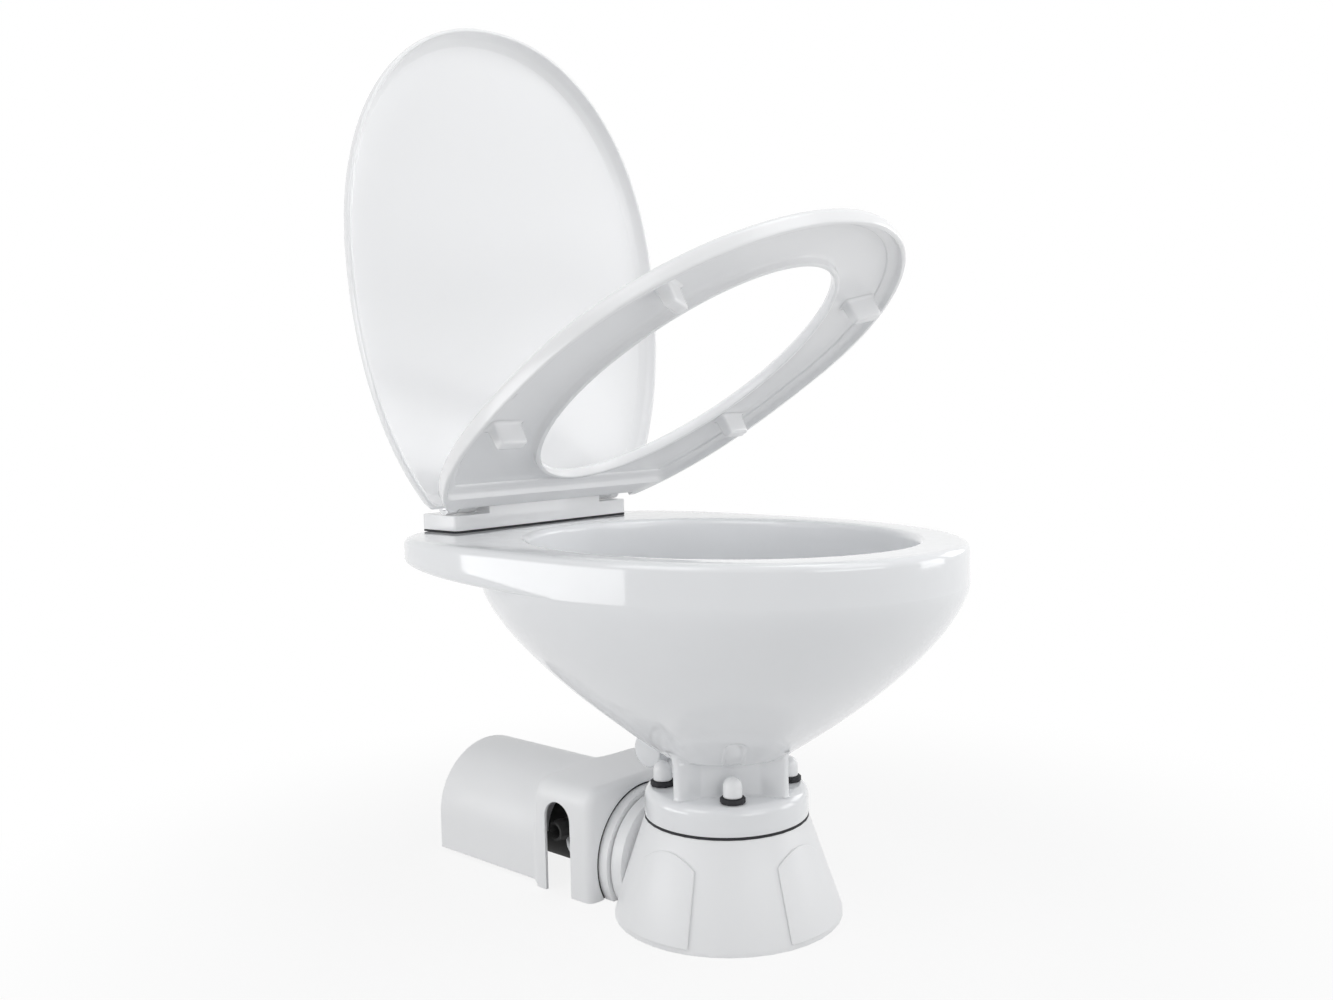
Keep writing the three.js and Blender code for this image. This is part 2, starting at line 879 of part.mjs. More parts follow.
// Hose tail along the revolve axis, from its shoulder to its tip, with sharp rings for the hose
function hoseTail(bore, radius, start, tip, count = barbCount) {
  const points = [[bore, start], [radius, start]];
  const first = tip - barbPitch * count;
  for (let k = 0; k < count; k += 1) {
    const at = first + barbPitch * k;
    points.push([radius, at], [radius + barbRise, at + gap]);
  }
  points.push([radius, tip], [bore, tip], [bore, start]);
  return points;
}

function makeFlushInlet() {
  const mouth = inletBossLength / 2;
  const end = mouth - inletDepth;
  const grommetOuter = inletBore - gap;
  const nippleRadius = grommetOuter - grommetWall - gap;
  const grommet = [
    [grommetOuter - grommetWall, end + gap],
    [grommetOuter, end + gap],
    [grommetOuter, mouth + gap],
    [grommetOuter + grommetWall, mouth + gap],
    [grommetOuter + grommetWall, mouth + gap + grommetWall],
    [grommetOuter - grommetWall, mouth + gap + grommetWall],
    [grommetOuter - grommetWall, end + gap],
  ];
  place('inlet_grommet', revolveX(grommet, inletReach, inletHeight), blackRubber);
  const shoulder = mouth + 2 * gap + grommetWall;
  const tail = hoseTail(nippleRadius - nippleWall, nippleRadius, end + overrun, shoulder + nippleLength);
  const collar = sleeve(nippleRadius - nippleWall / 2, inletBore, shoulder, shoulder + grommetWall);
  const nipple = join(
    revolveX(tail, inletReach, inletHeight),
    revolveX(collar, inletReach, inletHeight),
  );
  place('flush_inlet_nipple', nipple, whitePlastic);
}

// Macerator

const screwAngles = [boltAngles[1], boltAngles[3]];

function atScrews(profile) {
  return screwAngles.map((a) => (
    revolveY(profile, screwCircle * Math.cos(a), shaftHeight + screwCircle * Math.sin(a), smallSides / 2)
  ));
}

function makeMacerator() {
  const flange = prismY(standingDisc(flangeRadius, gap), maceratorFront, maceratorFront + flangeThickness);
  const body = revolveY(rod(maceratorRadius, maceratorFront + gap, maceratorRear));
  const portOuter = dischargeRadius + dischargeBossWall;
  const boss = revolveX(rod(portOuter, 0, dischargeBossReach), dischargeY, shaftHeight);
  const cavityRear = maceratorRear - maceratorRearWall;
  const cavity = revolveY(rod(maceratorBore, maceratorFront - overrun, cavityRear));
  const port = revolveX(rod(dischargeRadius, 0, dischargeBossReach + overrun), dischargeY, shaftHeight);
  const sealHole = rod(sealRingOuter + gap, cavityRear - overrun, maceratorRear + overrun);
  const sealBore = revolveY(sealHole, 0, shaftHeight, smallSides);
  const screwHoles = atScrews(rod(screwRadius + gap, maceratorRear - screwBite, maceratorRear + overrun));
  const housing = cut(join(flange, body, boss), cavity, port, sealBore, ...screwHoles);
  place('macerator_housing', housing, whitePlastic);

  const gasket = cut(
    prismY(standingDisc(flangeRadius - gap, gap), bossRear + gap, gasketRear),
    revolveY(rod(ductRadius, bossRear - overrun, gasketRear + overrun)),
  );
  place('housing_gasket', gasket, blackRubber);

  const insert = dischargeRadius - gap;
  const shoulder = dischargeBossReach + gap;
  const tail = hoseTail(insert - dischargeWall, insert, dischargeBossReach - overrun * 2, dischargeTip);
  const collar = sleeve(insert - dischargeWall / 2, portOuter, shoulder, shoulder + dischargeWall);
  const nipple = join(revolveX(tail, dischargeY, shaftHeight), revolveX(collar, dischargeY, shaftHeight));
  place('discharge_nipple', nipple, whitePlastic);

  const sealRear = maceratorRear - gap;
  const seal = sleeve(shaftRadius + gap, sealRingOuter, sealRear - sealRingLength, sealRear);
  place('shaft_seal', revolveY(seal, 0, shaftHeight, smallSides), blackRubber);
}

// Flush pump

function makeFlushPump() {
  const body = revolveY(rod(pumpRadius, pumpFront, pumpRear));
  const chamber = revolveY(rod(pumpChamber, pumpFront + pumpFrontWall, pumpRear + overrun));
  const shaftProfile = rod(shaftRadius + gap, pumpFront - overrun, pumpRear);
  const shaftHole = revolveY(shaftProfile, 0, shaftHeight, smallSides);
  const portZ = shaftHeight + pumpPortRise;
  const portOuter = pumpPortRadius + pumpPortWall;
  const tail = hoseTail(0, portOuter - barbRise, 0, pumpPortTip, barbCount - 1);
  const right = revolveX(tail, pumpPortY, portZ);
  const left = revolveX(tail.map(([r, x]) => [r, -x]), pumpPortY, portZ);
  const portEnd = pumpPortTip + overrun;
  const ports = revolveX(rod(pumpPortRadius, -portEnd, portEnd), pumpPortY, portZ);
  const screwHoles = atScrews(rod(screwRadius + gap, pumpFront - overrun, pumpRear + overrun));
  const pump = cut(join(body, right, left), chamber, shaftHole, ports, ...screwHoles);
  place('flush_pump_body', pump, whitePlastic);

  const plateFrontY = pumpRear + gap;
  const plateRearY = plateFrontY + pumpPlate;
  const through = (radius) => rod(radius, plateFrontY - overrun, plateRearY + overrun);
  const plate = cut(
    revolveY(rod(pumpRadius, plateFrontY, plateRearY)),
    revolveY(through(shaftRadius + gap), 0, shaftHeight, smallSides),
    ...atScrews(through(screwRadius + gap)),
  );
  place('flush_pump_plate', plate, steel);

  const headSeat = motorFront - gap;
  const tip = maceratorRear - screwBite + gap;
  const screw = [[0, tip], [screwRadius, tip], [screwRadius, headSeat + overrun], [0, headSeat + overrun]];
  placeEach(['pump_screw_1', 'pump_screw_2'], atScrews(screw), steel);
}

// Motor

function makeMotor() {
  const inner = motorRadius - motorWall;
  const screwClear = screwHead + gap;
  const can = cut(
    revolveY(rod(motorRadius, motorFront, motorRear)),
    revolveY(rod(inner, motorFront + endCapWall + bearingWidth, motorRear + overrun)),
    revolveY(rod(bearingRadius + gap, motorFront + endCapWall, motorRear), 0, shaftHeight, smallSides),
    revolveY(rod(shaftRadius + gap, motorFront - overrun, motorRear), 0, shaftHeight, smallSides),
    ...atScrews(rod(screwClear, motorFront - overrun, motorFront + overrun + screwHeadHeight)),
  );
  place('motor_can', can, blackPlastic);

  const front = motorFront + endCapWall + gap;
  const bearing = sleeve(shaftRadius + gap, bearingRadius, front, front + bearingWidth - gap);
  place('front_bearing', revolveY(bearing, 0, shaftHeight, smallSides), steel);

  const capFront = motorRear + gap;
  const capRear = motorRear + endCapLength;
  const capHollow = capRear - endCapWall - bearingWidth;
  const endCap = cut(
    revolveY([
      [0, capFront],
      [motorRadius, capFront],
      [motorRadius, capRear - endCapWall],
      [motorRadius - endCapWall, capRear],
      [0, capRear],
    ]),
    revolveY(rod(inner, capFront - overrun, capHollow)),
    revolveY(rod(bearingRadius + gap, capFront, capRear - endCapWall), 0, shaftHeight, smallSides),
  );
  place('motor_end_cap', endCap, blackPlastic);

  const rear = capHollow + gap;
  const rearBearing = sleeve(shaftRadius + gap, bearingRadius, rear, rear + bearingWidth - 2 * gap);
  place('rear_bearing', revolveY(rearBearing, 0, shaftHeight, smallSides), steel);

  const magnetOuter = inner - gap;
  const magnetFront = armatureFront + (armatureLength - magnetLength) / 2;
  const magnet = sleeve(magnetOuter - magnetThickness, magnetOuter, magnetFront, magnetFront + magnetLength);
  place('motor_magnet', revolveY(magnet), blackPlastic);

  const commutatorMiddle = commutatorFront + commutatorLength / 2;
  const brushReach = Math.sqrt((inner - gap) ** 2 - (brushWidth / 2) ** 2) - gap;
  const brushes = mirrored((side) => {
    const [low, high] = between(side, commutatorRadius + gap, brushReach);
    return block(
      low, high,
      commutatorMiddle - brushWidth / 2, commutatorMiddle + brushWidth / 2,
      shaftHeight - brushWidth / 2, shaftHeight + brushWidth / 2,
    );
  });
  placeEach(sideNames('motor_brush'), brushes, copperMetal);

  const glandZ = shaftHeight + motorRadius / 2;
  const glandFront = capRear + gap;
  const gland = [
    [0, glandFront],
    [glandRadius, glandFront],
    [glandRadius, glandFront + glandLength / 3],
    [glandRadius * 0.7, glandFront + glandLength],
    [0, glandFront + glandLength],
  ];
  place('cable_gland', revolveY(gland, 0, glandZ, smallSides), blackRubber);

  const saddleRear = motorRear - overrun;
  const saddle = cut(
    block(-saddleHalfWidth, saddleHalfWidth, saddleRear - saddleLength, saddleRear, 0, saddleHeight),
    revolveY(rod(motorRadius + gap, saddleRear - saddleLength - overrun, saddleRear + overrun)),
  );
  place('motor_saddle', saddle, blackRubber);
}

// Turning parts

const commutatorFront = armatureFront + armatureLength + gap;

function makeRotor() {
  place('motor_shaft', revolveY(rod(shaftRadius, shaftFront, shaftRear), 0, shaftHeight, smallSides), steel);

  const hubInner = shaftRadius + gap;
  const hubOuter = hubInner + hubWall;
  const armatureOuter = motorRadius - motorWall - gap - magnetThickness - airGap;
  const armatureRear = armatureFront + armatureLength;
  const armatureCore = revolveY(sleeve(hubInner, armatureOuter, armatureFront, armatureRear));
  const slots = Array.from({ length: armatureSlots }, (unused, k) => {
    const angle = (k / armatureSlots) * Math.PI * 2;
    const slot = new THREE.BoxGeometry(slotWidth, armatureLength + overrun, slotDepth * 2);
    slot.translate(0, armatureFront + armatureLength / 2, armatureOuter);
    return solid(slot.rotateY(angle).translate(0, 0, shaftHeight));
  });
  place('armature', cut(armatureCore, ...slots), copperMetal);

  const commutatorRear = commutatorFront + commutatorLength;
  const commutator = sleeve(hubInner, commutatorRadius, commutatorFront, commutatorRear);
  place('commutator', revolveY(commutator, 0, shaftHeight, smallSides), copperMetal);

  const bladeFront = shaftFront + gap;
  const bladeReach = maceratorBore - bladeRunning;
  const hubProfile = sleeve(hubInner, hubOuter, bladeFront, bladeFront + bladeThickness * 2);
  const bladeHub = revolveY(hubProfile, 0, shaftHeight, smallSides);
  const arms = [0, 1].map((k) => {
    const outline = outlineOf([
      [hubInner + gap, -bladeWidth / 2],
      [bladeReach, -bladeOffset],
      [bladeReach - bladeThickness, bladeWidth - bladeOffset],
      [hubInner + gap, bladeWidth / 2],
    ]);
    const arm = prism(outline, -bladeFront - bladeThickness, -bladeFront);
    return solid(arm.rotateX(Math.PI / 2).rotateY(k * Math.PI).translate(0, 0, shaftHeight));
  });
  place('macerator_blade', join(bladeHub, ...arms), steel);

  const vaneFront = bladeFront + bladeThickness * 2 + gap;
  place('discharge_impeller', makeVaneWheel(
    impellerVanes, impellerVaneWidth, maceratorBore - bladeRunning, vaneFront, vaneFront + impellerLength,
  ), blackPlastic);

  const flexFront = pumpFront + pumpFrontWall + flexRunning;
  const flexRear = pumpRear - flexRunning;
  place('flush_impeller', makeVaneWheel(
    flexVanes, flexVaneWidth, pumpChamber - flexRunning, flexFront, flexRear,
  ), blackRubber);
}

// A hub on the shaft with straight vanes
function makeVaneWheel(count, width, reach, front, rear) {
  const hubInner = shaftRadius + gap;
  const hub = revolveY(sleeve(hubInner, hubInner + hubWall, front, rear), 0, shaftHeight, smallSides);
  const start = hubInner + hubWall / 2;
  const vanes = Array.from({ length: count }, (unused, k) => {
    const vane = new THREE.BoxGeometry(width, rear - front, reach - start);
    vane.translate(0, (front + rear) / 2, (start + reach) / 2);
    return solid(vane.rotateY((k / count) * Math.PI * 2).translate(0, 0, shaftHeight));
  });
  return join(hub, ...vanes);
}

// Motor cover, carried by two webs that sit on the motor

const saddleShares = [0.2, 0.85];

function makeMotorCover() {
  const archTop = shaftHeight + archRadius;
  const boxSide = boxHalfWidth + overrun;
  const boxInner = boxHalfWidth - coverWall;
  const archInner = archRadius - coverWall;
  const boxShape = roundedRectangle(-boxHalfWidth, boxHalfWidth, boxFront, boxRear + boxCorner, boxCorner);
  const boxHollow = roundedRectangle(
    -boxInner, boxInner, boxFront + coverWall, boxRear + boxCorner, boxCorner - coverWall,
  );
  const box = cut(
    prismZ(boxShape, boxFloor, boxTop),
    block(-boxSide, boxSide, boxRear, boxRear + boxCorner + overrun, 0, boxTop + overrun),
  );
  const boxInside = cut(
    prismZ(boxHollow, boxFloor - overrun, boxTop - coverWall),
    block(-boxHalfWidth, boxHalfWidth, boxRear - coverWall, archRear, -overrun, boxTop),
  );
  const archShape = archOutline(0, archRadius, coverFloor, archTop);
  const arch = prismY(archShape, boxRear - coverWall, archRear);
  const archInside = prismY(
    archOutline(0, archInner, coverFloor - overrun, archTop - coverWall),
    boxRear - coverWall - overrun,
    archRear - coverWall,
  );
  const faceShape = standingDisc(flangeRadius + gap + coverWall, -overrun);
  const faceCut = prismY(faceShape, boxFront - overrun, boxFront + coverWall + overrun);
  const nearSlot = prismX(
    archOutline(nearSlotStart + nearSlotWidth / 2, nearSlotWidth / 2, -overrun, slotTop),
    -boxSide, -boxInner + overrun,
  );
  const farSlot = prismX(
    archOutline(farSlotStart + farSlotWidth / 2, farSlotWidth / 2, -overrun, slotTop),
    boxInner - overrun, boxSide,
  );
  const shell = cut(join(box, arch), boxInside, archInside, faceCut, nearSlot, farSlot);
  const saddles = saddleShares.map((share) => {
    const y = motorFront + motorLength * share;
    const webShape = archOutline(0, archInner + gap, shaftHeight, archTop - coverWall + gap);
    const web = prismY(webShape, y, y + coverWall);
    return cut(web, revolveY(rod(motorRadius + gap, y - overrun, y + coverWall + overrun)));
  });
  const cover = join(shell, ...saddles);
  place('motor_cover', cover, whitePlastic);
}

// Hinge, fixed half

function makeHingeBase() {
  const half = plateHalfWidth;
  const plateShape = roundedRectangle(-half, half, plateFront, plateRear, plateCorner);
  const holes = (low, high, radius) => [-hingeBoltX, hingeBoltX].map((x) => (
    revolveZ(rod(radius, low, high), x, hingeBoltY, smallSides)
  ));
  const boltHole = hingeBoltRadius + gap;
  const pad = cut(
    prismZ(plateShape, padBottom, padBottom + padThickness),
    ...holes(padBottom - overrun, plateTop, boltHole),
  );
  place('hinge_pad', pad, blackRubber);

  const blockTop = hingeZ + blockRise;
  const blockRear = plateFront + blockDepth;
  const blockShape = outlineOf([
    [plateFront, plateTop - overrun],
    [blockRear, plateTop - overrun],
    ...arc(blockRear - blockRound, blockTop - blockRound, blockRound, 0, Math.PI / 2),
    [plateFront + blockRound / 2, blockTop],
    [plateFront, blockTop - blockRound / 2],
  ]);
  const damperBore = damperRadius + gap;
  const pinBore = pinRadius + gap;
  const boreProfiles = [
    rod(damperBore, damperInset, blockHalfWidth - baseWall),
    rod(pinBore, damperInset, blockHalfWidth + overrun),
  ];
  const bores = [-1, 1].flatMap((side) => boreProfiles.map((profile) => (
    revolveX(profile.map(([r, x]) => [r, side * x]), hingeY, hingeZ)
  )));
  const base = cut(
    join(prismZ(plateShape, plateBottom, plateTop), prismX(blockShape, -blockHalfWidth, blockHalfWidth)),
    ...bores,
    ...holes(plateBottom - overrun, plateTop + overrun, boltHole),
    ...holes(plateTop - hingeHeadHeight - 2 * gap, plateTop + overrun, hingeBoltHead + gap),
  );
  place('hinge_base', base, whitePlastic);

  const damperEnd = blockHalfWidth - baseWall - gap;
  const damper = [
    [0, damperInset + gap],
    [damperRadius, damperInset + gap],
    [damperRadius, damperEnd],
    [pinRadius, damperEnd],
    [pinRadius, lidKnuckleOuter],
    [0, lidKnuckleOuter],
  ];
  placeEach(sideNames('hinge_damper'), mirrored((side) => (
    revolveX(damper.map(([r, x]) => [r, side * x]), hingeY, hingeZ)
  )), steel);

  const headTop = plateTop - gap;
  const nutTop = spotHeight - gap;
  const nutBottom = nutTop - hingeFlangeThickness - hingeNutHeight;
  const boltEnd = nutBottom - hingeBoltTail;
  const bolt = [
    [0, boltEnd],
    [hingeBoltRadius, boltEnd],
    [hingeBoltRadius, headTop - hingeHeadHeight],
    [hingeBoltHead, headTop - hingeHeadHeight],
    [hingeBoltHead, headTop],
    [0, headTop],
  ];
  const bolts = mirrored((side) => revolveZ(bolt, side * hingeBoltX, hingeBoltY, smallSides));
  placeEach(sideNames('hinge_bolt'), bolts, steel);
  const nuts = mirrored((side) => {
    const x = side * hingeBoltX;
    const flangeProfile = rod(spotRadius - gap, nutTop - hingeFlangeThickness, nutTop);
    const flange = revolveZ(flangeProfile, x, hingeBoltY, smallSides);
    const grip = solid(prism(hexagon(hingeNutAcross), nutBottom, nutTop - gap).translate(x, hingeBoltY, 0));
    const hole = revolveZ(rod(boltHole, nutBottom - overrun, nutTop + overrun), x, hingeBoltY, smallSides);
    return cut(join(flange, grip), hole);
  });
  placeEach(sideNames('hinge_nut'), nuts, whitePlastic);
}

// Seat and lid are drawn closed, with the hinge axis as the origin, then turned open

const seatEgg = {
  halfWidth: seatHalfWidth,
  front: seatFront,
  rear: seatRear,
  centre: -seatCentre,
  frontPower: seatFrontPower,
  rearPower: seatRearPower,
  stop: -seatRearStop,
};
const holeEgg = {
  halfWidth: holeHalfWidth,
  front: holeFront,
  rear: holeRear,
  centre: -holeCentre,
  frontPower: seatFrontPower,
  rearPower: seatFrontPower,
};

const seatTopShares = [[0, 0.62], [0.1, 0.84], [0.35, 0.95], [1, 1]];
const holeTopShares = [[0.5, 0.94], [0.18, 0.78], [0, 0.55]];
const seatShoulder = 24;
const holeShoulder = 30;

function makeSeat() {
  const ring = (egg, inset, height) => eggRing(egg, inset, height, seatSides);
  const thickness = seatSkirt + seatCrown;
  const rings = [ring(seatEgg, 0, -seatSkirt)];
  for (const [across, up] of seatTopShares) {
    rings.push(ring(seatEgg, seatShoulder * across, -seatSkirt + thickness * up));
  }
  for (const [across, up] of holeTopShares) {
    rings.push(ring(holeEgg, -holeShoulder * across, -seatSkirt + thickness * up));
  }
  rings.push(ring(holeEgg, 0, -holeEdge));
  const slab = loft(rings, true);

  const channelOuter = { ...seatEgg, stop: -channelRear };
  const channel = loft([
    ring(channelOuter, seatWall, -seatSkirt - overrun),
    ring(channelOuter, seatWall, -seatSkirt / 2),
    ring(channelOuter, seatWall * 3, -channelRoof),
    ring(holeEgg, -seatWall * 2, -channelRoof),
    ring(holeEgg, -seatWall, -holeEdge / 2),
    ring(holeEgg, -seatWall, -seatSkirt - overrun),
  ], true);

  const high = seatCrown + overrun;
  const low = -seatSkirt - overrun;
  const notchHalf = blockHalfWidth + knuckleGap;
  const notch = block(-notchHalf, notchHalf, -swingRadius, 0, low, high);
  const lidSlots = mirrored((side) => {
    const [x0, x1] = between(side, seatKnuckleOuter + gap, lidKnuckleOuter + knuckleGap);
    return block(x0, x1, -swingRadius, 0, low, high);
  });
  const reliefHalf = plateHalfWidth + reliefBeyondPlate;
  const reliefTop = plateTop - hingeZ + reliefAbovePlate;
  const relief = block(-reliefHalf, reliefHalf, -swingRadius, 0, low, reliefTop);
  const knuckles = mirrored((side) => {
    const [x0, x1] = between(side, seatKnuckleInner, seatKnuckleOuter);
    const barrel = revolveX(rod(knuckleRadius, x0, x1));
    const web = block(x0, x1, -swingRadius - overrun, 0, reliefTop, seatCrown - gap);
    return join(barrel, web);
  });
  const bores = mirrored((side) => {
    const [x0, x1] = between(side, seatKnuckleInner - overrun, seatKnuckleOuter + overrun);
    return revolveX(rod(pinRadius + gap, x0, x1));
  });
  const seat = cut(join(cut(slab, channel, notch, relief, ...lidSlots), ...knuckles), ...bores);
  place('seat', seat, whitePlastic, seatPivot);

  const bumperTop = -channelRoof - gap;
  const bumperBottom = rimHeight - hingeZ + gap;
  const bumpers = [[rearBumperX, rearBumperU], [frontBumperX, frontBumperU]].flatMap(([x, u]) => (
    mirrored((side) => {
      const ahead = u - holeCentre;
      const tangent = Math.atan2(ahead * (holeHalfWidth / holeFront), x);
      return makeBumper(side * x, -u, side * tangent, bumperBottom, bumperTop);
    })
  ));
  placeEach(cornerNames('seat_bumper'), bumpers, whitePlastic, seatPivot);
}

// A block that narrows downwards, turned to lie along the ring of the seat
function makeBumper(x, y, angle, bottom, top) {
  const corners = (length, width, z) => [
    [width / 2, -length / 2, z],
    [width / 2, length / 2, z],
    [-width / 2, length / 2, z],
    [-width / 2, -length / 2, z],
  ];
  const turned = (points) => points.map(([px, py, pz]) => [
    x + px * Math.cos(angle) - py * Math.sin(angle),
    y + px * Math.sin(angle) + py * Math.cos(angle),
    pz,
  ]);
  const small = [bumperLength - 2 * bumperTaper, bumperWidth - bumperTaper];
  return loft([
    turned(corners(small[0], small[1], bottom)),
    turned(corners(bumperLength, bumperWidth, bottom + bumperTaper * 2)),
    turned(corners(bumperLength, bumperWidth, top)),
  ], false);
}

// Lid

const lidEgg = {
  halfWidth: lidHalfWidth,
  front: lidFront,
  rear: lidRear,
  centre: -lidCentre,
  frontPower: lidFrontPower,
  rearPower: lidRearPower,
  stop: -lidRearStop,
};

const lidPanelShares = [0.6];
const lidInnerShares = [[1, 1], [0.55, 0.93], [0.25, 0.79], [0.08, 0.56], [0, 0]];
const lidOuterShares = [[0, 0], [0.02, 0.3], [0.12, 0.58], [0.38, 0.84], [1, 1]];
const lidShoulder = 22;
const lidCrownShares = [[0.5, 0.7], [0.9, 1]];

function makeLid() {
  const ring = (inset, height) => eggRing(lidEgg, inset, height, seatSides);
  const reach = lidHalfWidth - lidPanelInset;
  const rings = lidPanelShares.map((share) => ring(lidPanelInset + reach * share, lidUnderside));
  for (const [across, up] of lidInnerShares) {
    const inset = lidEdge + (lidPanelInset - lidEdge) * across;
    rings.push(ring(inset, -lidSkirt + (lidUnderside + lidSkirt) * up));
  }
  const outerTop = lidUnderside + lidThickness;
  for (const [across, up] of lidOuterShares) {
    rings.push(ring(lidShoulder * across, -lidSkirt + (outerTop + lidSkirt) * up));
  }
  for (const [across, up] of lidCrownShares) {
    rings.push(ring(lidShoulder + (lidHalfWidth - lidShoulder) * across, outerTop + lidCrown * up));
  }
  const shell = loft(rings, false);

  const high = outerTop + lidCrown + overrun;
  const notchHalf = seatKnuckleOuter + knuckleGap;
  const low = -lidSkirt - overrun;
  const notch = block(-notchHalf, notchHalf, -swingRadius - knuckleGap, swingRadius, low, high);
  const trimHalf = plateHalfWidth + reliefBeyondPlate * 3;
  const trimFront = -seatRearStop + knuckleGap;
  const trim = block(-trimHalf, trimHalf, trimFront, swingRadius, low, -lidRearTrim);
  const knuckles = mirrored((side) => {
    const [x0, x1] = between(side, seatKnuckleOuter + knuckleGap, lidKnuckleOuter);
    const barrel = revolveX(rod(knuckleRadius, x0, x1));
    const web = block(x0, x1, -seatRearStop, 0, 0, lidUnderside + lidThickness / 2);
    return join(barrel, web);
  });
  const bores = mirrored((side) => {
    const [x0, x1] = between(side, seatKnuckleInner, lidKnuckleOuter + gap);
    return revolveX(rod(pinRadius + gap, x0, x1));
  });
  place('lid', cut(join(cut(shell, notch, trim), ...knuckles), ...bores), whitePlastic, lidPivot);
}

makeBase();
makeAccessCover('access_cover_front', -90);
makeAccessCover('access_cover_left', 180);
makeAccessCover('access_cover_right', 0);
makeBowlSeal();
makeBowl();
makeFootBolts();
makeFlushInlet();
makeMacerator();
makeFlushPump();
makeMotor();
makeRotor();
makeMotorCover();
makeHingeBase();
makeSeat();
makeLid();

export default toilet;
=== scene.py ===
"""Electric marine toilet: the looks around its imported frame, laid out as an add-on.

Lengths are in metres in the frame of the parts: +Z up, the front of the bowl towards -Y.
"""

import json
import math

import bmesh
import bpy
import numpy as np
from bpy.props import FloatProperty, FloatVectorProperty, IntProperty, PointerProperty
from mathutils import Matrix, Vector

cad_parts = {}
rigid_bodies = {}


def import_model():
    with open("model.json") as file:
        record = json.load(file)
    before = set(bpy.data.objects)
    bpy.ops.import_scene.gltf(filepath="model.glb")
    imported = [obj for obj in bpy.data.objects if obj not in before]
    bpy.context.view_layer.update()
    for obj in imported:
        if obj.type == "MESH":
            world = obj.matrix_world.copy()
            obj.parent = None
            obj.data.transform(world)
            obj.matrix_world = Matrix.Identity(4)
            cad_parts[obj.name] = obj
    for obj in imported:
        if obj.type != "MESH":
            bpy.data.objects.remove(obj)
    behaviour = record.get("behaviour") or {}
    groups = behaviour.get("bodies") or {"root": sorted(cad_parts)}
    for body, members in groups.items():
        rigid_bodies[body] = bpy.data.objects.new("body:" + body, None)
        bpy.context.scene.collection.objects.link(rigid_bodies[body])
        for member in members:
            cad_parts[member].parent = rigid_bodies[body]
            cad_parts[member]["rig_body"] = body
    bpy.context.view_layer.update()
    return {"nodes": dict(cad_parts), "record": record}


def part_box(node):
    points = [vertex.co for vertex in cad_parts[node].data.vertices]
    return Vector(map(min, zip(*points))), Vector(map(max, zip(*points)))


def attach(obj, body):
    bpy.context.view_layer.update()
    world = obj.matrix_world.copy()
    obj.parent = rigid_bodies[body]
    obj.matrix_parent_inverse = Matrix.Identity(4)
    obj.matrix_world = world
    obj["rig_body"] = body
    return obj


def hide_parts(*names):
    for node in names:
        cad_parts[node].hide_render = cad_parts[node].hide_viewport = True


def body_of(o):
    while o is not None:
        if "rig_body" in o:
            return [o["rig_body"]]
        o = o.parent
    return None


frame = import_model()

bl_info = {
    "name": "Marine toilet",
    "version": (1, 0, 0),
    "blender": (4, 5, 0),
    "location": "3D View > Sidebar > Toilet",
    "description": "Builds the glazed bowl, seat, lid, base and pump cover of an electric marine toilet",
    "category": "Add Mesh",
}

MM = 0.001
HINGE = Vector((0.0, 252 * MM, 376 * MM))
SLOTS = {entry["node"]: entry["material_slot"] for entry in frame["record"]["subparts"]}


def colour(name, default, description):
    return FloatVectorProperty(
        name=name, description=description, subtype="COLOR", size=3, min=0, max=1, default=default
    )


def length(name, default, description):
    return FloatProperty(name=name, description=description, unit="LENGTH", min=0, default=default)


def angle(name, degrees, description):
    return FloatProperty(
        name=name, description=description, subtype="ANGLE", default=math.radians(degrees)
    )


class ToiletColours(bpy.types.PropertyGroup):
    glaze: colour("Glaze", (0.88, 0.89, 0.905), "White of the glazed bowl")
    seat: colour("Seat", (0.86, 0.87, 0.885), "White of the seat, lid and hinge")
    housing: colour("Housing", (0.86, 0.87, 0.885), "White of the base and the motor cover")
    rubber: colour("Rubber", (0.012, 0.012, 0.013), "Black of seals and pads")
    black: colour("Black plastic", (0.018, 0.018, 0.02), "Black of pump and motor")
    steel: colour("Steel", (0.62, 0.63, 0.65), "Grey of shafts and bolts")
    copper: colour("Copper", (0.72, 0.38, 0.2), "Colour of the windings")
    floor: colour("Floor", (0.78, 0.78, 0.78), "Pale floor of the studio")


class BowlSizes(bpy.types.PropertyGroup):
    foot_radius: length("Foot radius", 0.076, "Radius of the round foot")
    foot_top: length("Foot top", 0.120, "Height of the top of the foot disc")
    foot_round: length("Foot rounding", 0.009, "Rounding of the foot's upper edge")
    neck_radius: length("Neck radius", 0.0553, "Radius of the neck between the ribs")
    rib_radius: length("Rib reach", 0.070, "How far the four ribs stand out from the axis")
    rib_width: length("Rib width", 0.008, "Width of a rib at its outer face")
    pocket_depth: length("Pocket back", 0.042, "Distance of a pocket's back wall from the axis")
    pocket_width: length("Pocket width", 0.054, "Width of a pocket's back wall")
    pocket_top: length("Pocket top", 0.152, "Height of the roof of the pockets")
    flare_start: length("Flare start", 0.149, "Height at which the neck starts to flare out")
    crease: length("Crease", 0.315, "Height at which the flare meets the rim band")
    rim_height: length("Rim height", 0.350, "Height of the top of the rim")
    rim_rounding: length("Rim rounding", 0.007, "Rounding of the rim's edges")
    arch_half_width: length("Arch half width", 0.0085, "Half width of the shallow arch over a pocket")
    arch_depth: length("Arch depth", 0.0022, "Depth of the shallow arch over a pocket")
    rings: IntProperty(name="Flare rings", description="Rings from neck to rim", default=26, min=8)


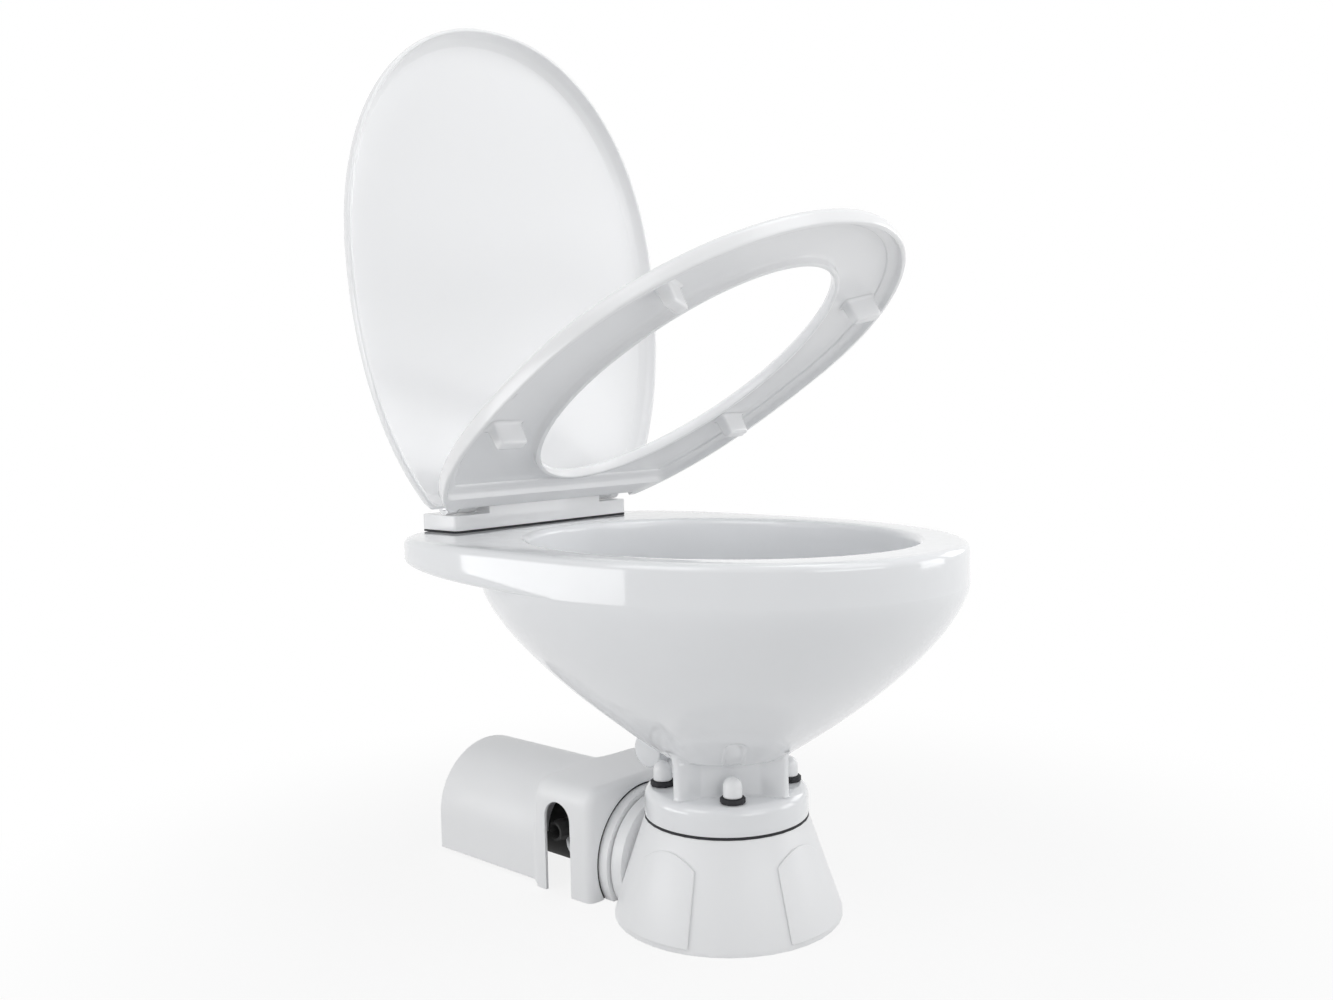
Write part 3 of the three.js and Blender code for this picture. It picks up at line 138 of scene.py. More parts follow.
class SeatSizes(bpy.types.PropertyGroup):
    angle: angle("Seat angle", 31.8, "How far the seat stands open in the photograph")
    skirt: length("Skirt", 0.0155, "How far the seat's rim hangs below the hinge axis")
    crown: length("Crown", 0.0022, "How far the seat's top stands above the hinge axis")
    wall: length("Wall", 0.005, "Wall of the hollow seat")
    sides: IntProperty(name="Sides", description="Points round the seat", default=144, min=24)


class LidSizes(bpy.types.PropertyGroup):
    angle: angle("Lid angle", 95.4, "How far the lid stands open in the photograph")
    skirt: length("Skirt", 0.0094, "How far the lid's rim hangs below the hinge axis")
    panel: length("Panel", 0.014, "Width of the steep skirt round the flat inner panel")
    sides: IntProperty(name="Sides", description="Points round the lid", default=144, min=24)


class CoverSizes(bpy.types.PropertyGroup):
    box_half: length("Box half width", 0.077, "Half width of the box in front of the motor")
    box_top: length("Box top", 0.1092, "Height of the top of the box")
    box_corner: length("Box corner", 0.014, "Rounding along the upper edges of the box")
    front_round: length("Front rounding", 0.009, "Rounding round the front face of the box")
    arch_radius: length("Arch radius", 0.069, "Radius of the arch over the motor")
    arch_top: length("Arch top", 0.108, "Height of the top of the arch")
    wall: length("Wall", 0.003, "Wall of the cover")
    flange_radius: length("Flange radius", 0.0655, "Radius of the round flange in front of the cover")


class PlasticSizes(bpy.types.PropertyGroup):
    housing_edge: length("Housing edge", 0.0012, "Rounding of the edges of base and flange")
    hinge_edge: length("Hinge edge", 0.0016, "Rounding of the hinge's edges")
    small_edge: length("Small edge", 0.0005, "Rounding of small pieces")


# Small steps in Blender that the pieces share

MERGE_REACH = 0.01 * MM
NODE_MERGE_REACH = 0.004 * MM
FLAT_DEGREES = 0.6
EDGE_DEGREES = 35
SMOOTH_DEGREES = 32


def settle():
    """Writes an object's place, turn and size into its mesh."""
    bpy.ops.object.transform_apply(location=True, rotation=True, scale=True)
    return bpy.context.object


def clear_selection():
    """Leaves edit mode and clears the selection."""
    if bpy.context.object and bpy.context.object.mode != "OBJECT":
        bpy.ops.object.mode_set(mode="OBJECT")
    bpy.ops.object.select_all(action="DESELECT")


def take(piece):
    """Makes a piece the only selected and active one."""
    clear_selection()
    piece.select_set(True)
    bpy.context.view_layer.objects.active = piece


def named(name):
    """Names the active piece and its mesh."""
    piece = bpy.context.object
    piece.name = name
    piece.data.name = name
    return piece


def modify(piece, kind, **settings):
    """Adds a modifier to a piece and applies it."""
    take(piece)
    modifier = piece.modifiers.new(kind.title(), kind)
    for key, value in settings.items():
        setattr(modifier, key, value)
    bpy.ops.object.modifier_apply(modifier=modifier.name)


def smooth(piece, degrees=SMOOTH_DEGREES):
    """Shades a piece smooth, but for the edges that turn by more than an angle."""
    take(piece)
    bpy.ops.object.shade_smooth_by_angle(angle=math.radians(degrees), keep_sharp_edges=False)


def give_finish(piece, slot):
    piece.data.materials.clear()
    piece.data.materials.append(bpy.data.materials[SLOT_FINISHES[slot]])


def finish(piece, body, slot, *nodes):
    """Settles a piece: writes its place into its mesh, gives it the finish of its slot, hangs it on its
    body and hides the nodes it stands for.
    """
    take(piece)
    settle()
    give_finish(piece, slot)
    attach(piece, body)
    if nodes:
        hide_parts(*nodes)
    clear_selection()


def cut(piece, cutters, operation="DIFFERENCE"):
    """Takes the cutters away from a piece, or adds them to it, and removes them."""
    for cutter in cutters:
        modify(piece, "BOOLEAN", object=cutter, operation=operation, solver="EXACT")
        bpy.data.objects.remove(cutter)


def block(low, high):
    """A box between two corners, in millimetres of the hinge's own frame or the part's."""
    clear_selection()
    middle = [(b + a) / 2 * MM for a, b in zip(low, high)]
    bpy.ops.mesh.primitive_cube_add(size=1, location=middle)
    bpy.context.object.scale = [(b - a) * MM for a, b in zip(low, high)]
    return settle()


def bar(radius, x0, x1, y=0.0, z=0.0, sides=48):
    """A round bar along X, in millimetres."""
    clear_selection()
    bpy.ops.mesh.primitive_cylinder_add(
        vertices=sides,
        radius=radius * MM,
        depth=abs(x1 - x0) * MM,
        location=((x0 + x1) / 2 * MM, y * MM, z * MM),
        rotation=(0, math.pi / 2, 0),
    )
    return settle()


def draw_rings(name, rings, closed):
    """A circle is added and extruded from ring to ring. Rings are lists of (x, y, z) in metres."""
    clear_selection()
    sides = len(rings[0])
    bpy.ops.mesh.primitive_circle_add(vertices=sides, radius=1)
    piece = named(name)
    bpy.ops.object.mode_set(mode="EDIT")
    mesh = bmesh.from_edit_mesh(piece.data)
    order = mesh.verts.layers.int.new("order")
    mesh.verts.ensure_lookup_table()
    for k, vert in enumerate(mesh.verts):
        vert[order] = k
        vert.co = rings[0][k]
    for ring in rings[1:]:
        bpy.ops.mesh.extrude_edges_move()
        mesh = bmesh.from_edit_mesh(piece.data)
        order = mesh.verts.layers.int["order"]
        for vert in mesh.verts:
            if vert.select:
                vert.co = ring[vert[order]]
    if not closed:
        bpy.ops.mesh.edge_face_add()
        mesh = bmesh.from_edit_mesh(piece.data)
        bpy.ops.mesh.select_all(action="DESELECT")
        for edge in mesh.edges:
            edge.select_set(edge.is_boundary)
        bpy.ops.mesh.edge_face_add()
    bpy.ops.mesh.select_all(action="SELECT")
    bpy.ops.mesh.remove_doubles(threshold=MERGE_REACH)
    bpy.ops.mesh.normals_make_consistent(inside=False)
    bpy.ops.object.mode_set(mode="OBJECT")
    piece.data.attributes.remove(piece.data.attributes["order"])
    return piece


def round_edges(piece, width, degrees=EDGE_DEGREES, segments=3):
    """Rounds the edges that turn by more than an angle."""
    modify(
        piece,
        "BEVEL",
        width=width,
        segments=segments,
        limit_method="ANGLE",
        angle_limit=math.radians(degrees),
    )


def copy_node(node, name, edge, degrees=SMOOTH_DEGREES):
    """A merged copy of a part, with flat faces whole, rounded edges and smooth shading."""
    source = frame["nodes"][node]
    piece = bpy.data.objects.new(name, source.data.copy())
    piece.data.name = name
    bpy.context.scene.collection.objects.link(piece)
    take(piece)
    bpy.ops.object.mode_set(mode="EDIT")
    bpy.ops.mesh.select_all(action="SELECT")
    bpy.ops.mesh.remove_doubles(threshold=NODE_MERGE_REACH)
    bpy.ops.mesh.dissolve_limited(angle_limit=math.radians(FLAT_DEGREES))
    bpy.ops.object.mode_set(mode="OBJECT")
    if edge:
        round_edges(piece, edge)
    smooth(piece, degrees)
    return piece


# Ovals, as in the part's source

QUARTER = math.pi / 2


def egg(half_width, front, rear, centre, front_power=2.0, rear_power=2.0, stop=None):
    """An oval of two halves that meet at the centre, in millimetres, cut off behind the stop."""
    return dict(a=half_width, f=front, r=rear, c=centre, pf=front_power, pr=rear_power, stop=stop)


def mix(first, second, share):
    """An oval between two ovals."""
    sizes = ("a", "f", "r", "c", "pf", "pr")
    mixed = {key: first[key] + (second[key] - first[key]) * share for key in sizes}
    mixed["stop"] = None
    return mixed


def grown(shape, reach):
    """An oval moved out by a reach all round."""
    return dict(shape, a=shape["a"] + reach, f=shape["f"] + reach, r=shape["r"] + reach)


def oval(shape, inset, height, turns):
    """Points of an oval in millimetres at the given turns, in radians, as an array."""
    c, s = np.cos(turns), np.sin(turns)
    power = np.where(s > 0, shape["pr"], shape["pf"])
    reach = np.where(s > 0, shape["r"], shape["f"])
    x = (shape["a"] - inset) * np.sign(c) * np.abs(c) ** (2 / power)
    y = shape["c"] + (reach - inset) * np.sign(s) * np.abs(s) ** (2 / power)
    if shape["stop"] is not None:
        y = np.minimum(y, shape["stop"] - inset)
    return np.stack([x, y, np.full_like(x, height)], axis=1)


def even_turns(sides):
    return np.arange(sides) / sides * 2 * math.pi


def in_metres(rings):
    return [[Vector(point) * MM for point in ring] for ring in rings]


# Finishes

# Noise mostly stays between these two values
NOISE_LOW, NOISE_HIGH = 0.3, 0.7
WHITE_DRIFT = 0.012


def set_inputs(tree, node, values):
    """Sets inputs of a node to numbers or colours, or links them to another node's output."""
    for name, value in values.items():
        if isinstance(value, bpy.types.NodeSocket):
            tree.links.new(value, node.inputs[name])
        else:
            node.inputs[name].default_value = value


def add(tree, kind, values, operation=None):
    """Adds a node, sets what it does and sets or links its inputs."""
    node = tree.nodes.new("ShaderNode" + kind)
    if operation:
        node.operation = operation
    set_inputs(tree, node, values)
    return node


def new_material(name):
    """Makes a material with one Principled shader, and gives its node tree and the shader."""
    material = bpy.data.materials.new(name)
    material.use_nodes = True
    tree = material.node_tree
    tree.nodes.clear()
    shader = add(tree, "BsdfPrincipled", {})
    add(tree, "OutputMaterial", {"Surface": shader.outputs["BSDF"]})
    return tree, shader


def object_place(tree):
    return add(tree, "TexCoord", {}).outputs["Object"]


def add_noise(tree, scale, detail=2.0, stretch=None):
    """Noise on Object coordinates, stretched along an axis where asked."""
    place = object_place(tree)
    if stretch:
        place = add(tree, "Mapping", {"Vector": place, "Scale": stretch}).outputs["Vector"]
    return add(tree, "TexNoise", {"Vector": place, "Scale": scale, "Detail": detail}).outputs["Fac"]


def spread(tree, value, low, high, start=NOISE_LOW, end=NOISE_HIGH, interpolation="LINEAR"):
    """Brings a value between start and end, such as noise, to one between low and high."""
    values = {"Value": value, "From Min": start, "From Max": end, "To Min": low, "To Max": high}
    span = add(tree, "MapRange", values)
    span.interpolation_type = interpolation
    return span.outputs["Result"]


def tint(tree, value, base, share):
    """A colour that drifts a little darker and lighter with the noise."""
    ramp = add(tree, "ValToRGB", {"Fac": value})
    darker, lighter = ramp.color_ramp.elements
    darker.position, lighter.position = NOISE_LOW, NOISE_HIGH
    darker.color = [c * (1 - share) for c in base] + [1]
    lighter.color = [min(1, c * (1 + share)) for c in base] + [1]
    return ramp.outputs["Color"]


def bumped(tree, height, strength, distance):
    values = {"Height": height, "Strength": strength, "Distance": distance}
    return add(tree, "Bump", values).outputs["Normal"]


def make_glaze(colours):
    """Vitreous china: a deep gloss over a white body, with the faint ripple of a fired glaze."""
    tree, shader = new_material("glaze")
    set_inputs(tree, shader, {
        "Base Color": tint(tree, add_noise(tree, 9, 3), colours.glaze, WHITE_DRIFT),
        "Roughness": spread(tree, add_noise(tree, 60), 0.06, 0.13),
        "IOR": 1.5,
        "Coat Weight": 0.35,
        "Coat Roughness": 0.04,
        "Normal": bumped(tree, add_noise(tree, 38), 0.12, 0.0006),
    })


def make_white_plastic(name, base, roughness, grain):
    """Moulded plastic: a soft gloss, finer or coarser grain, a trace of handling in the gloss."""
    tree, shader = new_material(name)
    set_inputs(tree, shader, {
        "Base Color": tint(tree, add_noise(tree, 14, 3), base, WHITE_DRIFT),
        "Roughness": spread(tree, add_noise(tree, 26, 4), roughness * 0.8, roughness * 1.25),
        "IOR": 1.49,
        "Normal": bumped(tree, add_noise(tree, 900), grain, 0.0001),
    })


def make_dark(name, base, roughness, scale):
    """Black rubber or plastic with a dusty, uneven surface."""
    tree, shader = new_material(name)
    set_inputs(tree, shader, {
        "Base Color": tint(tree, add_noise(tree, 120, 4), base, 0.35),
        "Roughness": spread(tree, add_noise(tree, 60, 3), roughness * 0.8, roughness * 1.2),
        "Normal": bumped(tree, add_noise(tree, scale, 3), 0.25, 0.0002),
    })


def make_metal(name, base, roughness, stretch):
    """Turned or drawn metal, with fine lines along one way."""
    tree, shader = new_material(name)
    lines = add_noise(tree, 160, 3, stretch)
    set_inputs(tree, shader, {
        "Base Color": tint(tree, lines, base, 0.08),
        "Roughness": spread(tree, lines, roughness * 0.7, roughness * 1.4),
        "Metallic": 1.0,
        "Normal": bumped(tree, lines, 0.15, 0.0001),
    })


SLOT_FINISHES = {
    "ceramic": "glaze",
    "housing_plastic": "housing_plastic",
    "seat_plastic": "seat_plastic",
    "rubber": "rubber",
    "black_plastic": "black_plastic",
    "steel": "steel",
    "copper": "copper",
}


class TOILET_OT_finishes(bpy.types.Operator):
    """Makes the finishes and gives each part of the frame its own"""

    bl_idname = "toilet.finishes"
    bl_label = "Finishes"

    def execute(self, context):
        colours = context.scene.toilet_colours
        make_glaze(colours)
        make_white_plastic("seat_plastic", colours.seat, 0.14, 0.04)
        make_white_plastic("housing_plastic", colours.housing, 0.15, 0.06)
        make_dark("rubber", colours.rubber, 0.6, 500)
        make_dark("black_plastic", colours.black, 0.42, 700)
        make_metal("steel", colours.steel, 0.3, (1, 1, 12))
        make_metal("copper", colours.copper, 0.35, (12, 1, 12))
        for node, part in frame["nodes"].items():
            give_finish(part, SLOTS[node])
        return {"FINISHED"}


# Bowl, in millimetres from the floor and from the axis of the foot

RIM_BAND = egg(194, 250.6, 275, 20.8, 2.0, 4.3)
CREASE = egg(194, 250.6, 201, 20.8, 2.0, 2.3)
OPENING = egg(155, 191, 191, 7)
INSIDE = egg(182, 238.6, 189, 20.8, 2.0, 2.3)
THROAT = egg(34, 34, 34, 0)
DECK_RISE = 14.4
LIP_DEPTH = 46
LIP_WALL = 9
CHANNEL_WIDTH = 19
CHANNEL_ROOF = 12
BOWL_FLOOR = 164
THROAT_EDGE = 130
FLARE_EXPONENT = 1.5
FOOT_BOTTOM = 94
FOOT_TOP_RINGS = (63, 59, 55, 51, 47, 44)
RIBS_END = 172
ARCH_START, ARCH_END = 154, 192
ARCH_STEEPNESS = math.sin(math.radians(37))
ARCH_LENGTH = 39
ARCH_SOFTNESS = 0.45
ARCH_INWARD, ARCH_UPWARD = 0.6, 0.8
BOSS_RADIUS, BOSS_BORE, BOSS_REACH = 17, 11, 20
BOSS_PLACE = (81, 141)


def bowl_turns():
    """Angles round the bowl, closest at the ribs and over the pockets."""
    spans = ((-45, -31, 1.0), (-31, -11, 2.5), (-11, 11, 1.0), (11, 31, 2.5), (31, 45, 1.0))
    quarter = np.concatenate([np.arange(*span) for span in spans])
    return np.radians(np.concatenate([quarter + 45 + 90 * k for k in range(4)]))


def pocket_reach(turns, sizes):
    """Distance of the pocketed neck from the axis at each angle: back walls, side walls and ribs."""
    fine = np.radians(np.arange(-45, 45, 0.1))
    depth, half = sizes.pocket_depth / MM, sizes.pocket_width / MM / 2
    rib, rib_half = sizes.rib_radius / MM, sizes.rib_width / MM / 2
    edge = math.pi / 4 - math.asin(rib_half / rib)
    rib_x, rib_y = rib * math.cos(edge), rib * math.sin(edge)
    slope = np.abs(np.tan(fine))
    back = depth / np.cos(fine)
    along = (depth * slope - half) / np.maximum(1e-6, (rib_y - half) - (rib_x - depth) * slope)
    side = (depth + (rib_x - depth) * np.clip(along, 0, 1)) / np.cos(fine)
    reach = np.where(depth * slope <= half, back, np.where(np.abs(fine) < edge, side, rib))
    weights = np.exp(-0.5 * (np.arange(-25, 26) / 8) ** 2)
    blurred = np.convolve(np.tile(reach, 3), weights / weights.sum(), "same")
    soft = blurred[len(reach) : 2 * len(reach)]
    return np.interp(np.degrees(turns) % 90 - 45, np.degrees(fine), soft, period=90)


def soft_max(a, b, reach):
    """The larger of two lengths, rounded where they meet."""
    share = np.clip((reach - np.abs(a - b)) / reach, 0, 1)
    return np.maximum(a, b) + share * share * reach / 4


def distance(ring):
    return np.hypot(ring[:, 0], ring[:, 1])


def stretch_to(ring, radius):
    """Moves the points of a ring out to the given distances from the axis."""
    moved = ring.copy()
    moved[:, :2] *= (radius / distance(ring))[:, None]
    return moved


def level_ring(turns, radius, height):
    """A level ring at the given distance or distances from the axis."""
    return np.stack([radius * np.cos(turns), radius * np.sin(turns), np.full_like(turns, height)], axis=1)


def press_arch(ring, height, sizes):
    """Sinks the shallow arches over the pockets into a ring of the flare."""
    away = distance(ring)
    from_diagonal = np.arctan2(ring[:, 1], ring[:, 0]) % QUARTER - QUARTER / 2
    across = away * np.sin(from_diagonal)
    past_end = max(0, (height - ARCH_START) / ARCH_STEEPNESS - ARCH_LENGTH)
    outside = np.hypot(across, past_end) - sizes.arch_half_width / MM
    depth = sizes.arch_depth / MM / (1 + np.exp(outside / ARCH_SOFTNESS))
    moved = stretch_to(ring, away - depth * ARCH_INWARD)
    moved[:, 2] += depth * ARCH_UPWARD
    return moved


def flare_ring(height, sizes, turns):
    """The outside of the bowl at a height between neck and crease."""
    start, crease = sizes.flare_start / MM, sizes.crease / MM
    neck = sizes.neck_radius / MM
    share = min(1, max(0, (height - start) / (crease - start)))
    shape = mix(egg(neck, neck, neck, 0), CREASE, 1 - (1 - share) ** FLARE_EXPONENT)
    return oval(shape, 0, height, turns)


def foot_rings(sizes, turns, reach):
    """The foot disc from its underside to the walls of the pockets."""
    foot, top, rounding = sizes.foot_radius / MM, sizes.foot_top / MM, sizes.foot_round / MM
    rings = [(foot - inset, FOOT_BOTTOM + rise) for inset, rise in ((0.8, 0), (0.2, 0.25), (0, 0.9))]
    rings.append((foot, (FOOT_BOTTOM + top - rounding) / 2))
    for turn in np.linspace(0, QUARTER, 8):
        radius = foot - rounding * (1 - math.cos(turn))
        rings.append((np.maximum(radius, reach), top - rounding * (1 - math.sin(turn))))
    rings += [(np.maximum(radius, reach + 1.8), top) for radius in FOOT_TOP_RINGS]
    rings += [(reach + 0.55, top + 0.5), (reach, top + 1.8)]
    return [level_ring(turns, radius, height) for radius, height in rings]


def neck_rings(sizes, turns, reach):
    """Walls of the pockets, their roof, and the neck up to where the flare swallows the ribs."""
    top, roof, neck = sizes.foot_top / MM, sizes.pocket_top / MM, sizes.neck_radius / MM
    outer = np.maximum(reach, neck)
    walls = [top + (roof - top) * share for share in (0.25, 0.5, 0.75, 0.93)]
    rings = [level_ring(turns, reach, height) for height in walls]
    for share, rise in ((0.02, -1.4), (0.06, -0.3), (0.35, 0), (0.65, 0), (0.94, 0.3)):
        rings.append(level_ring(turns, reach + (outer - reach) * share, roof + rise))
    for height in np.arange(roof + 1.4, ARCH_END, 1.3):
        ring = flare_ring(height, sizes, turns)
        if height < RIBS_END:
            ring = stretch_to(ring, soft_max(distance(ring), reach, 4))
        rings.append(press_arch(ring, height, sizes))
    return rings


def rim_rings(sizes, turns):
    """Crease, rim band, rounded rim and the flushing lip, ending at the top of the inside."""
    crease, rim, rounding = sizes.crease / MM, sizes.rim_height / MM, sizes.rim_rounding / MM
    rings = []
    for turn in np.linspace(0, QUARTER, 11):
        height = crease + 0.6 + DECK_RISE * (1 - math.cos(turn))
        rings.append((mix(CREASE, RIM_BAND, math.sin(turn)), 0, height))
    for turn in np.linspace(0, QUARTER, 7):
        inset, drop = rounding * (1 - math.cos(turn)), rounding * (1 - math.sin(turn))
        rings.append((RIM_BAND, inset, rim - drop))
    outside, inside = grown(RIM_BAND, -rounding), grown(OPENING, rounding)
    rings += [(mix(outside, inside, share), 0, rim) for share in (0.33, 0.66)]
    for turn in np.linspace(0, QUARTER, 7):
        inset, drop = -rounding * (1 - math.sin(turn)), rounding * (1 - math.cos(turn))
        rings.append((OPENING, inset, rim - drop))
    low, roof, far = rim - LIP_DEPTH, rim - CHANNEL_ROOF, -LIP_WALL - CHANNEL_WIDTH
    lip = [(0, rim - 20), (0, low + 2), (-0.6, low + 0.6), (-2, low), (1 - LIP_WALL, low)]
    lip += [(-LIP_WALL, low + 1), (-LIP_WALL, roof - 2), (-LIP_WALL - 2, roof), (far + 2, roof)]
    lip += [(far, roof - 2), (far, crease + DECK_RISE / 2)]
    rings += [(OPENING, inset, height) for inset, height in lip]
    return [oval(shape, inset, height, turns) for shape, inset, height in rings]


def inside_rings(sizes, turns):
    """The inside of the bowl, and the throat down to the underside of the foot."""
    crease = sizes.crease / MM
    rings = []
    for share in np.linspace(1, 0, 22):
        shape = mix(THROAT, INSIDE, 1 - (1 - share) ** FLARE_EXPONENT)
        rings.append(oval(shape, 0, BOWL_FLOOR + (crease - BOWL_FLOOR) * share, turns))
    throat = ((0, THROAT_EDGE), (0, FOOT_BOTTOM + 1), (-1, FOOT_BOTTOM))
    return rings + [oval(THROAT, inset, height, turns) for inset, height in throat]


class TOILET_OT_bowl(bpy.types.Operator):
    """Draws the glazed bowl from its pocketed foot to the rim and down through the throat"""

    bl_idname = "toilet.bowl"
    bl_label = "Bowl"

    def execute(self, context):
        sizes = context.scene.toilet_bowl
        turns = bowl_turns()
        reach = pocket_reach(turns, sizes)
        rings = foot_rings(sizes, turns, reach) + neck_rings(sizes, turns, reach)
        start, crease = rings[-1][:, 2].mean(), sizes.crease / MM
        for height in np.linspace(start, crease, sizes.rings)[1:]:
            rings.append(flare_ring(height, sizes, turns))
        rings += rim_rings(sizes, turns) + inside_rings(sizes, turns)
        rings.append(rings[0])
        bowl = draw_rings("bowl_glazed", in_metres(rings), closed=True)
        smooth(bowl, 50)
        finish(bowl, "base", "ceramic", "bowl")

        boss = bar(BOSS_RADIUS, -BOSS_REACH, BOSS_REACH, *BOSS_PLACE, 64)
        boss.name = "bowl_inlet_boss"
        round_edges(boss, 2.4 * MM, 30, 4)
        cut(boss, [bar(BOSS_BORE, -2, BOSS_REACH + 4, *BOSS_PLACE, 64)])
        smooth(boss, 40)
        finish(boss, "base", "ceramic")
        return {"FINISHED"}


# Seat and lid are drawn closed round the hinge axis, in millimetres, then turned open

EAR_RADIUS = 8.5
PIN_BORE = 4.3
SWING = 22.5


def open_about_hinge(piece, degrees):
    """Turns a piece open about the hinge axis and moves it to its place at the rim."""
    piece.data.transform(Matrix.Rotation(-math.radians(degrees), 4, "X"))
    piece.data.transform(Matrix.Translation(HINGE))


def both_sides(near, far):
    """Two spans along X, on the left and on the right."""
    return (-far, -near), (near, far)


def add_ears(piece, span, root, low, high, bore):
    """Adds the ears round the hinge axis, each rooted in the piece, and bores them for the pins."""
    ears = []
    for x0, x1 in both_sides(*span):
        ears += [bar(EAR_RADIUS, x0, x1), block((x0, root, low), (x1, 0, high))]
    cut(piece, ears, "UNION")
    cut(piece, [bar(PIN_BORE, x0, x1) for x0, x1 in both_sides(*bore)])


SEAT = egg(200, 227.5, 275, -250, 1.97, 2.55, -15)
SEAT_HOLLOW = dict(SEAT, stop=-38)
SEAT_HOLE = egg(121, 178, 170, -236, 1.97, 1.97)
SEAT_EARS = (83, 106)
SEAT_EAR_LOW, SEAT_EAR_HIGH = -7.8, 1.6


def seat_profile(sizes):
    """Rings of the hollow seat: (oval, inset, height), round the outside and back inside."""
    skirt, crown, wall = sizes.skirt / MM, sizes.crown / MM, sizes.wall / MM
    foot = [(1.5, 0), (0.6, 0.35), (0.15, 1.2), (0, 3)]
    outside = [(inset, rise - skirt) for inset, rise in foot]
    for turn in np.linspace(0, QUARTER, 11):
        outside.append((7.5 * (1 - math.cos(turn)), crown - 8.2 + 7.2 * math.sin(turn)))
    outside += [(13, crown - 0.6), (22, crown - 0.2), (34, crown)]
    hole = [(-30, crown), (-24, crown - 0.25)]
    for turn in np.linspace(QUARTER, 0, 11):
        hole.append((-17 * (1 - math.cos(turn)), -6 + (crown + 5.4) * math.sin(turn)))
    hole += [(0, -11.5), (-0.5, -12.6), (-1.7, -13), (1 - wall, -13), (-wall, -12.4)]
    hole += [(-wall - 0.4, -7.4), (-wall - 1.2, -5.8), (-wall - 3.5, -4.8)]
    ledge = wall * 3
    hollow = [(ledge + 8, -4.6), (ledge + 1, -4.8), (ledge, -5.2), (ledge - 0.5, -6.6)]
    hollow += [(ledge - 1.2, -7.2), (wall * 2, -7.9), (wall + 1.6, -9.4), (wall + 0.3, -11)]
    hollow += [(wall - 0.2, 1 - skirt), (wall - 0.9, -skirt)]
    parts = ((SEAT, outside), (SEAT_HOLE, hole), (SEAT_HOLLOW, hollow))
    return [(shape, inset, height) for shape, rings in parts for inset, height in rings]


# A bumper's distance from the middle, its distance ahead of the hinge and its turn in degrees
REAR_BUMPER = (156, 157, 0)
FRONT_BUMPER = (136, 364, 22)
# The rear bumpers stand behind this distance from the axis of the foot, the front ones ahead of it
BUMPERS_PART = 50 * MM
BUMPER = egg(15.5, 6.8, 6.8, 0, 7, 7)
BUMPER_RINGS = (
    (-3, -4.9), (-1.2, -5.4), (-0.4, -6.6), (0, -9),
    (0.7, -22), (1.1, -24.2), (1.9, -25.3), (3.2, -25.7),
)


def draw_bumper(node, opened):
    """A drafted block across the seat's channel, on the corner of the seat where its part stands."""
    low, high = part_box(node)
    middle = (low + high) / 2
    side = math.copysign(1, middle.x)
    x, ahead, turn = REAR_BUMPER if middle.y > BUMPERS_PART else FRONT_BUMPER
    spin = Matrix.Rotation(math.radians(-side * turn), 4, "Z")
    place = Matrix.Translation((side * x, -ahead, 0)) @ spin
    turns = even_turns(56)
    rings = []
    for inset, height in BUMPER_RINGS:
        rings.append([place @ Vector(point) * MM for point in oval(BUMPER, inset, height, turns)])
    bumper = draw_rings(f"{node}_moulded", rings, closed=False)
    smooth(bumper, 50)
    open_about_hinge(bumper, opened)
    return bumper


class TOILET_OT_seat(bpy.types.Operator):
    """Draws the raised seat with its hollow underside, hinge ears and four wedge bumpers"""

    bl_idname = "toilet.seat"
    bl_label = "Seat"

    def execute(self, context):
        sizes = context.scene.toilet_seat
        opened = math.degrees(sizes.angle)
        turns = even_turns(sizes.sides)
        rings = [oval(shape, inset, height, turns) for shape, inset, height in seat_profile(sizes)]
        rings.append(rings[0])
        seat = draw_rings("seat_moulded", in_metres(rings), closed=True)
        low, high, behind = -30, 12, 4
        cutters = [block((-78, -SWING, low), (78, behind, high))]
        cutters.append(block((-121.5, -SWING, low), (121.5, behind, SEAT_EAR_LOW)))
        for x0, x1 in both_sides(106.3, 119.5):
            cutters.append(block((x0, -SWING, low), (x1, behind, high)))
        cut(seat, cutters)
        add_ears(seat, SEAT_EARS, -SWING - 4, SEAT_EAR_LOW, SEAT_EAR_HIGH, (79, 110))
        round_edges(seat, 0.5 * MM, 55, 2)
        smooth(seat, 45)
        open_about_hinge(seat, opened)
        finish(seat, "seat", "seat_plastic", "seat")
        for node in (f"seat_bumper_{k}" for k in range(1, 5)):
            finish(draw_bumper(node, opened), "seat", "seat_plastic", node)
        return {"FINISHED"}


LID = egg(205.5, 251.5, 302, -231, 2.13, 2.15, 2)
LID_EARS = (107, 118.5)
LID_EAR_HIGH = 7.6
LID_UNDER = 6.3
LID_THICKNESS = 2.6
LID_CROWN = 4.5
LID_EDGE = 2.8
LID_SHOULDER = 22


